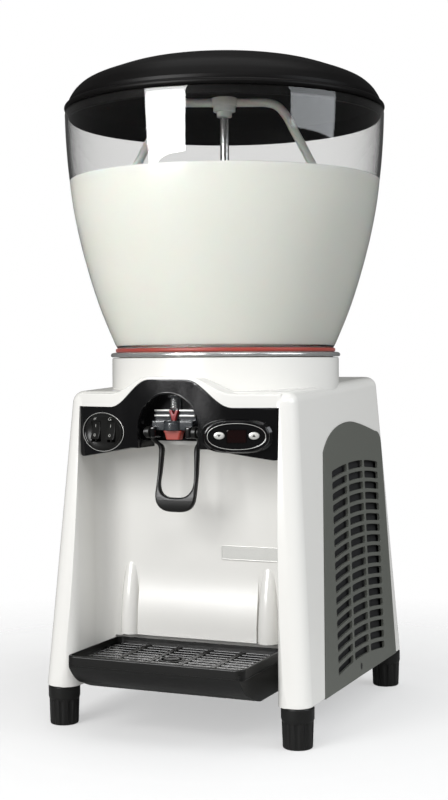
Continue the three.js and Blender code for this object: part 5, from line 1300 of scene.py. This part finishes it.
def handle_y(z):
    """Where the middle of the loop lies at a height: cranked back under its bosses, then hanging forward."""
    knots = ((-134, 232), (-134.6, 240), (-133.9, 249), (-131, 259), (-127.6, 272), (-125.2, 289),
             (-124.6, 299), (-127, 303.4), (-139, 312.4), (PIVOT_Y, PIVOT_Z))
    line = eased(knots, 6)
    for (y, low), (next_y, high) in zip(line, line[1:]):
        if low <= z <= high:
            return y + (next_y - y) * (z - low) / (high - low)
    return PIVOT_Y if z > PIVOT_Z else knots[0][0]


def make_handle():
    """Builds the push handle: a leaning loop with a heavy foot, two cranked arms and their bosses."""
    thick = 7
    outer = handle_side(29.2, 22.8, 23.2, 232, 19)
    inner = handle_side(23.8, 17.6, 19.4, 247, 17)
    loop = outer + [(-x, z) for x, z in reversed(outer)] + [(-x, z) for x, z in inner] + list(reversed(inner))
    arms = standing("handle_loop", [loop], thick, size("handle_edge"), 3)
    levels = list(range(236, 300, 4)) + [299 + 0.9 * i for i in range(18)]
    sliced(arms, levels, (0, 0, 1))
    for point in arms.data.vertices:
        point.co.y += (handle_y(point.co.z / MM) - thick / 2) * MM
    for side in (-1, 1):
        weld(arms, rod("boss", (side * 26.5, PIVOT_Y, PIVOT_Z), 6.2, 5.4, "X", 40, 0.9))
    dress(arms, "handle_loop", "tap_handle", "black_satin", ["tap_handle"], 34)
    for side, name in ((-1, "left"), (1, "right")):
        pin = rod("pin", (side * 23.3, PIVOT_Y, PIVOT_Z), 2, 12, "X", 24)
        weld(pin, rod("head", (side * 30.3, PIVOT_Y, PIVOT_Z), 4, 1.6, "X", 32, 0.6))
        end = side * 31.1
        slot = block("slot", (end - 0.5, PIVOT_Y - 3, PIVOT_Z - 0.5), (end + 0.5, PIVOT_Y + 3, PIVOT_Z + 0.5))
        carve(pin, slot)
        dress(pin, f"pivot_pin_{name}", "cabinet", "dark_paint", [f"handle_pin_{name}"])


# Drip tray, grid and float

TRAY_FRONT, TRAY_REAR, TRAY_TOP, TRAY_HALF = -193, -76.5, 86, 99
TRAY_Y = (TRAY_FRONT + TRAY_REAR) / 2
TRAY_DEEP = (TRAY_REAR - TRAY_FRONT) / 2
FLOAT_Y = -146


def tray_side(inset, top):
    """The side view of the tray's belly, in Y and Z."""
    front, knee, low = TRAY_FRONT + 0.5 + inset, -137 + inset / 2, 43.5 + inset
    start = (front, 74 + inset / 2)
    points = [(front, top), start]
    points += bowed(start, (front + 13, 56.5 + inset), (front + 29, 52.5 + inset), 8)
    points += bowed(points[-1], (knee - 12, low + 2.5), (knee, low), 6)
    return points + [(TRAY_REAR - inset, low), (TRAY_REAR - inset, top)]


def tray_outline(grow, steps=8):
    """The tray seen from above, grown or shrunk."""
    return rounded(TRAY_HALF + grow, TRAY_DEEP + grow, 9 + grow, 0, TRAY_Y, steps)


def make_tray():
    """Builds the drip tray: a banded rim over a belly, hollow, with its tongues and the float's post."""
    belly = sideways("tray_belly", [tray_side(0, 80)], 191)
    edit(belly)
    choose(lambda middle, way: abs(middle.x) > 95 and middle.z < 79.9)
    soften(2.4)
    rest()
    band = layer("tray_band", [tray_outline(0)], 74.4, TRAY_TOP, size("tray_edge"), 3)
    weld(band, belly)
    carve(band, layer("parting line", [tray_outline(3), tray_outline(-0.5)], 76.2, 76.7))
    well = sideways("well", [tray_side(2.5, 96)], 186)
    combine(well, "INTERSECT", [layer("inner", [rounded(95, TRAY_DEEP - 5.5, 6, 0, TRAY_Y)], 40, 96)])
    carve(band, well, layer("mouth", [tray_outline(-2.5, 6)], 77.2, 96))
    for x in (-TONGUE_X, TONGUE_X):
        start = (x - TONGUE_HALF, TRAY_REAR - 1.5, TONGUE_LOW)
        end = (x + TONGUE_HALF, TRAY_REAR + 44, TONGUE_TOP)
        weld(band, block("tongue", start, end, 0.8))
    profile = [(0, 47.4), (4.4, 47.4), (4.4, 56.2), (2.6, 56.2), (2.6, 68.4), (2.1, 69), (0, 69)]
    weld(band, placed(turned("post", profile, 32), at(0, FLOAT_Y, 0)))
    dress(band, "tray_shell", "drip_tray", "black_satin", ["drip_tray"], 32)


def make_grid():
    """Builds the drip grid: a rim with glossy level slats, and dull cross bars with a ring for the float."""
    half, deep, edge = 96.2, TRAY_DEEP - 2.8, 7
    columns, rows, bar_x, bar_y = 5, 9, 6, 4.4
    pitch_x = (2 * (half - edge) + bar_x) / columns
    pitch_y = (2 * (deep - edge) + bar_y) / rows
    loops = [rounded(half, deep, 6, 0, TRAY_Y)]
    for row in range(rows):
        y = TRAY_Y + edge - deep + row * pitch_y + (pitch_y - bar_y) / 2
        loops.append(rounded(half - edge, (pitch_y - bar_y) / 2, 1.2, 0, y, 3))
    sheet = layer("grid_slats", loops, 77.5, 80.5, size("grid_edge"), 2)
    low, high = (TRAY_Y - deep + 5, 77.6), (TRAY_Y + deep - 5, 80.9)
    bars = []
    for column in range(1, columns):
        x = edge - half + column * pitch_x - bar_x / 2
        bars.append(block("bar", (x - bar_x / 2, *low), (x + bar_x / 2, *high), 0.6))
    collar = layer("collar", [oval(14, 14, 0, FLOAT_Y), oval(11, 11, 0, FLOAT_Y)], 77.4, 81.1, 0.8, 3)
    for piece in (sheet, *bars):
        carve(piece, rod("float hole", (0, FLOAT_Y, 79), 11.2, 8, sides=64))
    dress(sheet, "grid_slats", "drip_grid", "black_gloss", ["drip_grid"], 34)
    dress(group(*bars, collar), "grid_bars", "drip_grid", "black_satin", (), 34)


def make_float():
    """Builds the float that rises through the grid when the tray is full."""
    profile = [(0, 69.3), (3, 69.3), (3, 56.5), (9.2, 56.5), (9.5, 56.8), (9.5, 62.2), (9.1, 62.5),
               (4.8, 62.8), (4.8, 79), (7.6, 79), (8.5, 79.6), (8.5, 81), (8, 81.7), (7, 82), (5.6, 82),
               (5, 81.4), (0, 81.2)]
    cap = placed(turned("float_cap", profile, 48), at(0, FLOAT_Y, 0))
    dress(cap, "float_cap", "tray_float", "black_satin", ["tray_float"])


# Bowl, drink, lid, cooling dome and stirrer

FOOT_Z, RIM_Z, RIM_RADIUS = 403.8, 667.5, 179.3
BOWL_SHARES = (
    (0.6804, 0), (0.7574, 0.1233), (0.812, 0.226), (0.8667, 0.3496), (0.9135, 0.4748), (0.9515, 0.609),
    (0.9732, 0.7273), (0.9838, 0.7971), (0.9939, 0.8946), (1, 1),
)
LID_SHARES = (
    (0.972, 0.2), (0.961, 0.27), (0.9333, 0.4), (0.8778, 0.55), (0.7778, 0.69), (0.6111, 0.865),
    (0.3889, 0.955), (0.1667, 0.99), (0, 1),
)


def bowl_line(inset):
    """The bowl's wall in radius and height, drawn inward by an inset."""
    return [(RIM_RADIUS * r - inset, FOOT_Z + (RIM_Z - FOOT_Z) * h) for r, h in eased(BOWL_SHARES)]


def make_bowl():
    """Spins the clear bowl with its foot and its rim, and the gasket under it."""
    inner = list(reversed(bowl_line(size("bowl_wall"))))
    inner_low = [point for point in inner if point[1] > FOOT_Z + 3]
    rim = [(RIM_RADIUS - inset, RIM_Z - drop) for inset, drop in ((0.4, 0.6), (1, 0), (2, 0), (2.6, 0.6))]
    foot = [(118.2, 405.9), (113.6, 405.8), (113, 405.4), (113, 404.2), (113.5, FOOT_Z), (121.4, FOOT_Z)]
    profile = bowl_line(0)[1:-1] + rim + inner_low[1:] + foot
    dress(turned("bowl_wall", profile, FINE), "bowl_wall", "bowl", "clear_bowl", ["bowl"], 40)
    ring = [(115.5, 400.2), (115.5, 402.6), (116.4, 403.5), (122.6, 403.5), (123.5, 402.6), (123.5, 400.2),
            (122.6, 399.3), (116.4, 399.3)]
    dress(turned("gasket_ring", ring, ROUND), "gasket_ring", "cabinet", "red_rubber", ["bowl_gasket"], 50)


def make_drink():
    """Spins the drink that fills the bowl round the cooling dome, up to its level."""
    level = size("drink_level")
    line = bowl_line(size("bowl_wall") - size("drink_gap"))
    wall = [point for point in line if 407.5 < point[1] < level - 1.5]
    last = wall[-1]
    above = next(point for point in line if point[1] >= level - 1.5)
    share = (level + 0.6 - last[1]) / (above[1] - last[1])
    edge = last[0] + (above[0] - last[0]) * min(share, 1)
    profile = [(52.6, 399.2), (112.4, 399.2), (112.4, 406.1), (118.3, 406.2)] + wall
    profile += [(edge - inset, level + lift) for inset, lift in ((0, 0.7), (1, 0.1), (3, -0.2), (8, -0.3))]
    profile += [(5.3, level - 0.3), (5.3, 545.6), (39.4, 545.6), (47.6, 543.2), (51.2, 537), (52.6, 530)]
    dress(turned("drink_body", profile, FINE), "drink_body", "bowl", "drink", (), 40)


def make_lid():
    """Spins the dark lid: a rolled lip, a soft shoulder and a low dome over a thin wall."""
    lip_z, lip_height, top, radius = 667.8, 7.4, 724, 180
    rise = top - lip_z
    lip = size("lid_lip")
    roll = arc(radius - lip - 0.1, lip_z + lip_height / 2, lip, -80, 95, 12)
    dome = [(radius * r, lip_z + rise * h) for r, h in eased(LID_SHARES, 6)]
    dome = [point for point in dome if point[1] > lip_z + lip_height + 2.4]
    inner = [(r - 2, z - 3) for r, z in reversed(dome) if r > 12]
    skirt = [(172.8, lip_z + 6), (172.6, 659.4), (173.2, 658.8), (175, 658.8), (175.6, 659.4),
             (175.6, lip_z + 0.1)]
    profile = [(0, top - 3)] + inner + skirt + roll + [(174.9, lip_z + 8.2)] + dome
    dress(turned("lid_dome", profile, FINE), "lid_dome", "lid", "black_lid", ["lid"], 40)


def make_dome():
    """Spins the steel cooling plate with its rolled bead and its dome, and the tube for the shaft."""
    bead = [(123.6, 395.4), (124.6, 394), (127, 393.9), (128.5, 394.5), (129, 395.7), (128.9, 396.9),
            (128.2, 398), (126.8, 398.7), (124.8, 399), (116, 399), (114.6, 398.6)]
    profile = [(5.3, 543), (39, 543), (45.6, 541.2), (49, 537), (50, 531), (50, 395)] + bead + [
        (54, 397), (52.4, 398), (52, 400), (52, 532), (51, 538.4), (47, 542.9), (39, 545), (5.3, 545)]
    plate = carve(turned("cooling_dome", profile, ROUND), rod("drain", (0, -100, 396), 7.3, 12, sides=40))
    dress(plate, "cooling_dome", "cabinet", "steel", ["cooling_plate"], 40)
    tube_profile = [(3.7, 343.6), (5, 343.6), (5, 662.9), (4.6, 663.4), (4.1, 663.4), (3.7, 662.9)]
    dress(turned("shaft_tube", tube_profile, 40), "shaft_tube", "cabinet", "steel", ["guide_tube"])


def make_stirrer():
    """Builds the milky stirrer: a stepped hub on the shaft, two bent arms and their low paddles."""
    profile = [(0, 677.3), (3.3, 677.3), (3.3, 664.2), (8.1, 664.2), (8.5, 664.7), (8.5, 669.8), (8.9, 670.3),
               (12.2, 670.3), (12.5, 670.8), (12.5, 676), (12.9, 676.5), (14.5, 676.5), (15, 677.1),
               (15, 684.4), (14.2, 685.4), (12.8, 685.5), (0, 685.5)]
    hub = turned("stirrer_hub", profile, 56)
    path = [(10, 0, 680.6), (30, 0, 680.6), (48, 0, 680.2), (59, 0, 677), (68, 0, 668), (79, 0, 648),
            (94, 0, 620), (101, 0, 604), (100.5, 0, 588), (89, 0, 520), (76, 0, 440), (72, 0, 424),
            (62, 0, 418.6)]
    turned_by = 0.403
    arms = []
    for angle in (0, 180):
        arm = group(tube("arm", path, 4.8, 5, True), block("paddle", (58, -1.8, 432), (78, 1.8, 500), 1.2))
        arms.append(placed(arm, turn(angle, "Z")))
    placed(group(hub, *arms), Matrix.Rotation(turned_by, 4, "Z"))
    dress(hub, "stirrer_frame", "stirrer_drive", "milky_plastic", ["stirrer"], 40)


# Feet


def make_feet():
    """Turns one foot with its flutes and copies it to the four corners."""
    profile = [(0, 0), (13.9, 0), (14.8, 0.5), (15.3, 1.6), (16.2, 27), (16.4, 28.2), (17, 30), (17, 40.4),
               (16.4, 41.4), (5.2, 41.4), (5, 42), (5, 63.2), (4.4, 63.7), (0, 63.7)]
    foot = turned("foot", profile, 80)
    flutes = []
    for i in range(10):
        angle = FULL * i / 10
        centre = (18.6 * math.cos(angle), 18.6 * math.sin(angle), 12.5)
        flutes.append(rod("flute", centre, 4.2, 29, sides=20, edge=1))
    carve(foot, group(*flutes))
    for side, across in (("left", -134), ("right", 134)):
        for end, along in (("front", -133.5), ("rear", 171.7)):
            name = f"foot_{end}_{side}"
            copy = placed(twin(foot), at(across, along, 0))
            dress(copy, f"{name}_screwed", name, "black_satin", [name], 30)
    bpy.data.objects.remove(foot)


# Side panels, their screws, the rear cover and the mains inlet

SCREW_Y, SCREW_Z = 24, 52
LOUVRE_ROWS, LOUVRE_COLUMNS = 18, 3


def louvre(row, column):
    """One slot of a side panel, bowed upward about the middle of its row."""
    reach, rise, corner, steps, long, tall, pitch = 82, 6, 1.6, 8, 51.5, 8, 57
    front_top, front_low, high_z, low_z = -30, -53, 262, 56.5
    run = row / (LOUVRE_ROWS - 1)
    front = front_top + (front_low - front_top) * run
    start = front + column * pitch
    end = start + long
    middle = front + reach
    low = up_side(high_z + (low_z - high_z) * run)

    def bow(y):
        return low + rise * (1 - ((y - middle) / reach) ** 2)

    ys = [start + corner + (long - 2 * corner) * i / steps for i in range(steps + 1)]
    under = [(y, bow(y)) for y in ys]
    over = [(y, bow(y) + tall) for y in reversed(ys)]
    ends = [(end, bow(end) + corner), (end, bow(end) + tall - corner)]
    begins = [(start, bow(start) + tall - corner), (start, bow(start) + corner)]
    return under + ends + over + begins


def make_side_panels():
    """Builds the right side panel with its louvres, its screw and a dark sheet of painted shade behind the
    louvres, and mirrors them.
    """
    screw = up_side(SCREW_Z)
    slots = [louvre(row, column) for row in range(LOUVRE_ROWS) for column in range(LOUVRE_COLUMNS)]
    loops = [panel_outline(0)] + slots + [oval(3.7, 3.7, SCREW_Y, screw, 24)]
    plate = placed(layer("plate", loops, -2.4, 1, size("panel_edge"), 2), onto_side())
    profile = [(0, -4.8), (1.8, -4.8), (1.8, -0.6), (3.3, -0.6), (3.4, 0.2), (2.9, 0.75), (1.6, 1), (0, 1)]
    head = turned("head", profile, 32)
    for long, wide in ((2.1, 0.4), (0.4, 2.1)):
        carve(head, block("slot", (-long, -wide, 0.2), (long, wide, 2)))
    placed(head, onto_side() @ at(SCREW_Y, screw, 0))
    # The dark sheet behind the louvres is painted shade: it darkens the slots in place of the shade inside
    # the casing.
    mat = placed(layer("mat", [panel_outline(-8, FLOOR_Z + 10)], -5.8, -5), onto_side())
    for right, name, surface, node in ((plate, "panel", "grey_panel", "side_panel"),
                                       (head, "screw", "dark_paint", "panel_screw"),
                                       (mat, "filter_mat", "black_rubber", None)):
        for piece, side in ((mirrored(right), "left"), (right, "right")):
            dress(piece, f"{name}_{side}_side", "cabinet", surface, [f"{node}_{side}"] if node else ())


def make_rear_cover():
    """Builds the rear cover with its slots, and the mains inlet in it."""
    half_height = (up_rear(318) - up_rear(66)) / 2
    middle = up_rear(COVER_Z)
    outline = rounded(104, half_height, 14)
    loops = [outline]
    for row in range(9):
        low = up_rear(160 + 16 * row) - middle
        loops += [rounded(30, 3, 2.4, x, low + 3, 4) for x in (-38, 38)]
    loops.append(rounded(24.3, 13.9, 2, INLET_X, up_rear(INLET_Z) - middle, 4))
    plate = layer("cover", loops, 3.53, 5.53, 0.5, 2)
    rim = layer("rim", [outline, rounded(96, half_height - 8, 8)], 0.3, 5)
    placed(group(plate, rim), onto_rear(0, COVER_Z))
    dress(plate, "rear_cover_plate", "cabinet", "grey_panel", ["rear_cover"])
    bore = rounded(12.5, 8, 2)
    face = layer("face", [rounded(24, 13.6, 2), bore], 1.53, 5.53, 0.4, 2)
    socket = layer("socket", [rounded(14.5, 10, 2), bore], -18.2, 3)
    floor = layer("floor", [rounded(12.9, 8.4, 2)], -18.2, -10.5)
    pins = [block("pin", (x - 1.1, -2, -12.4), (x + 1.1, 2, 3.4), 0.4) for x in (-7, 0, 7)]
    inlet = placed(group(face, socket, floor, *pins), onto_rear(INLET_X, INLET_Z))
    dress(inlet, "inlet_socket", "cabinet", "black_satin", ["mains_inlet"])


def finish_inner():
    """Gives each frame node that is still shown the finish of its material slot."""
    slots = {part["node"]: part["material_slot"] for part in frame["record"]["subparts"]}
    for name, node in frame["nodes"].items():
        if not node.hide_render:
            node.data.materials.clear()
            node.data.materials.append(finish(slots[name]))


# Stage: floor, lights, world and camera

STAGE_FLOOR = 1.6


def make_floor():
    """Lays a pale floor that fades into the backdrop."""
    rest()
    bpy.ops.mesh.primitive_circle_add(vertices=96, radius=STAGE_FLOOR, fill_type="NGON", location=(0, 0, 0))
    floor = bpy.context.object
    floor.name = "floor"
    shade = Shade("floor_paper")
    x, y = shade.axis("X"), shade.axis("Y")
    away = shade.maths("SQRT", x * x + y * y)
    paper = shade.noise(300, 3)
    shade.coat(shade.toned(paper, tint("floor"), 0.99, 1), 0.7 + paper * 0.1)
    shade.feed("Alpha", 0.55 - 0.55 * shade.spread(away, 0.3, 0.8))
    floor.data.materials.append(shade.material)


def softbox(name, azimuth, distance, height, width, tall, power, shade=(1, 1, 1)):
    """A softbox at an azimuth that faces the dispenser."""
    angle = math.radians(azimuth)
    place = Vector((distance * math.sin(angle), -distance * math.cos(angle), height))
    lamp = bpy.data.lights.new(name, "AREA")
    lamp.shape = "RECTANGLE"
    lamp.size = width
    lamp.size_y = tall
    lamp.energy = power
    lamp.color = shade
    holder = bpy.data.objects.new(name, lamp)
    holder.location = place
    holder.rotation_euler = (Vector((0, 0, 0.42)) - place).to_track_quat("-Z", "Y").to_euler()
    bpy.context.scene.collection.objects.link(holder)
    return holder


def graded(tree, depth, low, high):
    """Runs from low to high as a ray's depth goes from none to one."""
    added = tree.nodes.new("ShaderNodeMapRange")
    for key, source in (("Value", depth), ("To Min", low), ("To Max", high)):
        if isinstance(source, bpy.types.NodeSocket):
            tree.links.new(source, added.inputs[key])
        else:
            added.inputs[key].default_value = source
    return added.outputs[0]


def make_world():
    """A backdrop, white seen straight, dimmer through clear pieces and as fill, and dark in reflections."""
    seen, fill, glazed, mirror = 1, 0.45, 0.76, 0.07
    world = bpy.data.worlds.new("studio")
    bpy.context.scene.world = world
    world.use_nodes = True
    tree = world.node_tree
    background = next(node for node in tree.nodes if node.type == "BACKGROUND")
    path = tree.nodes.new("ShaderNodeLightPath").outputs
    bounces = tree.nodes.new("ShaderNodeMath")
    tree.links.new(path["Glossy Depth"], bounces.inputs[0])
    tree.links.new(path["Diffuse Depth"], bounces.inputs[1])
    through = graded(tree, path["Transmission Depth"], fill, glazed)
    unseen = graded(tree, path["Glossy Depth"], through, mirror)
    tree.links.new(graded(tree, bounces.outputs[0], seen, unseen), background.inputs["Strength"])
    background.inputs["Color"].default_value = (1, 1, 1, 1)


def make_camera():
    """Puts the camera where the photographer stood: level, to the right of the front."""
    lens = bpy.data.cameras.new("camera")
    lens.lens = 64.55
    lens.sensor_width = 36
    lens.shift_x = -0.002
    lens.shift_y = -0.048
    holder = bpy.data.objects.new("camera", lens)
    holder.location = (0.6352, -1.4892, 0.3886)
    holder.rotation_euler = (math.radians(90), math.radians(0.28), math.radians(23.1))
    bpy.context.scene.collection.objects.link(holder)
    bpy.context.scene.camera = holder


def make_stage():
    """Builds the floor, the lights, the world and the camera."""
    bpy.context.scene.view_settings.view_transform = "Standard"
    make_floor()
    softbox("key", -17, 2.1, 1.1, 1.1, 1.36, 29)
    softbox("side", 86, 2.0, 1.3, 1.4, 1.3, 18, (0.92, 0.96, 1))
    softbox("front", 35, 2.6, 2.1, 1.4, 0.7, 14)
    softbox("top", 0, 0.05, 2.3, 1.8, 1.8, 10)
    glint = softbox("glint", -17, 2.05, 1.1, 1.08, 1.36, 44)
    glint.visible_diffuse = False
    make_world()
    make_camera()


# Operators, the panel and the run of the script


class AddCasing(bpy.types.Operator):
    """Builds the white casing with its hood, its neck and its bay."""

    bl_idname = "dispenser.casing"
    bl_label = "Casing"

    def execute(self, context):
        make_casing()
        return {"FINISHED"}


class AddFascia(bpy.types.Operator):
    """Builds the gloss black fascia with the lined opening for the tap."""

    bl_idname = "dispenser.fascia"
    bl_label = "Fascia"

    def execute(self, context):
        make_fascia()
        return {"FINISHED"}


class AddSwitches(bpy.types.Operator):
    """Builds the switch dish, its rockers and the marks beside them."""

    bl_idname = "dispenser.switches"
    bl_label = "Switches"

    def execute(self, context):
        make_switches()
        return {"FINISHED"}


class AddDisplay(bpy.types.Operator):
    """Builds the display pod with its window and its buttons."""

    bl_idname = "dispenser.display"
    bl_label = "Display pod"

    def execute(self, context):
        make_pod()
        return {"FINISHED"}


class AddNamePlate(bpy.types.Operator):
    """Builds the bare name plate on the back wall of the bay."""

    bl_idname = "dispenser.name_plate"
    bl_label = "Name plate"

    def execute(self, context):
        make_badge()
        return {"FINISHED"}


class AddTap(bpy.types.Operator):
    """Builds the tap: its smoky block, nozzle, plunger and spring."""

    bl_idname = "dispenser.tap"
    bl_label = "Tap"

    def execute(self, context):
        make_tap()
        make_nozzle()
        make_plunger()
        make_spring()
        return {"FINISHED"}


class AddHandle(bpy.types.Operator):
    """Builds the push handle and its two pins."""

    bl_idname = "dispenser.handle"
    bl_label = "Push handle"

    def execute(self, context):
        make_handle()
        return {"FINISHED"}


class AddTray(bpy.types.Operator):
    """Builds the drip tray with its grid and its float."""

    bl_idname = "dispenser.tray"
    bl_label = "Drip tray"

    def execute(self, context):
        make_tray()
        make_grid()
        make_float()
        return {"FINISHED"}


class AddSidePanels(bpy.types.Operator):
    """Builds the side panels with their louvres and their screws."""

    bl_idname = "dispenser.side_panels"
    bl_label = "Side panels"

    def execute(self, context):
        make_side_panels()
        return {"FINISHED"}


class AddRearCover(bpy.types.Operator):
    """Builds the rear cover and the mains inlet in it."""

    bl_idname = "dispenser.rear_cover"
    bl_label = "Rear cover"

    def execute(self, context):
        make_rear_cover()
        return {"FINISHED"}


class AddFeet(bpy.types.Operator):
    """Builds the four screwed feet."""

    bl_idname = "dispenser.feet"
    bl_label = "Feet"

    def execute(self, context):
        make_feet()
        return {"FINISHED"}


class AddBowl(bpy.types.Operator):
    """Builds the clear bowl, its gasket and the drink in it."""

    bl_idname = "dispenser.bowl"
    bl_label = "Bowl and drink"

    def execute(self, context):
        make_bowl()
        make_drink()
        return {"FINISHED"}


class AddLid(bpy.types.Operator):
    """Builds the dark lid."""

    bl_idname = "dispenser.lid"
    bl_label = "Lid"

    def execute(self, context):
        make_lid()
        return {"FINISHED"}


class AddCoolingDome(bpy.types.Operator):
    """Builds the steel cooling dome and the tube for the stirrer's shaft."""

    bl_idname = "dispenser.cooling_dome"
    bl_label = "Cooling dome"

    def execute(self, context):
        make_dome()
        return {"FINISHED"}


class AddStirrer(bpy.types.Operator):
    """Builds the stirrer."""

    bl_idname = "dispenser.stirrer"
    bl_label = "Stirrer"

    def execute(self, context):
        make_stirrer()
        return {"FINISHED"}


class FinishInnerPieces(bpy.types.Operator):
    """Gives the frame's inner pieces their finishes."""

    bl_idname = "dispenser.inner_pieces"
    bl_label = "Inner pieces"

    def execute(self, context):
        finish_inner()
        return {"FINISHED"}


class SetStage(bpy.types.Operator):
    """Builds the floor, the lights, the backdrop and the camera."""

    bl_idname = "dispenser.stage"
    bl_label = "Stage"

    def execute(self, context):
        make_stage()
        return {"FINISHED"}


STEPS = (
    AddCasing, AddFascia, AddSwitches, AddDisplay, AddNamePlate, AddTap, AddHandle, AddTray, AddSidePanels,
    AddRearCover, AddFeet, AddBowl, AddLid, AddCoolingDome, AddStirrer, FinishInnerPieces, SetStage,
)


class DispenserPanel(bpy.types.Panel):
    """Lists the steps, with the sizes and the colours under them."""

    bl_idname = "VIEW3D_PT_dispenser"
    bl_label = "Drink dispenser"
    bl_space_type = "VIEW_3D"
    bl_region_type = "UI"
    bl_category = "Dispenser"

    def draw(self, context):
        for step in STEPS:
            self.layout.operator(step.bl_idname)
        for group_of in (context.scene.dispenser_sizes, context.scene.dispenser_colours):
            for key in group_of.__annotations__:
                self.layout.prop(group_of, key)


CLASSES = (DispenserSizes, DispenserColours, *STEPS, DispenserPanel)


def register():
    """Adds the classes, and the sizes and colours to the scene."""
    for kind in CLASSES:
        bpy.utils.register_class(kind)
    bpy.types.Scene.dispenser_sizes = bpy.props.PointerProperty(type=DispenserSizes)
    bpy.types.Scene.dispenser_colours = bpy.props.PointerProperty(type=DispenserColours)


def unregister():
    """Takes them out again."""
    del bpy.types.Scene.dispenser_colours
    del bpy.types.Scene.dispenser_sizes
    for kind in reversed(CLASSES):
        bpy.utils.unregister_class(kind)


def main():
    """Builds the whole scene, one operator after the other."""
    register()
    for step in STEPS:
        family, name = step.bl_idname.split(".")
        getattr(getattr(bpy.ops, family), name)()


if __name__ == "__main__":
    main()
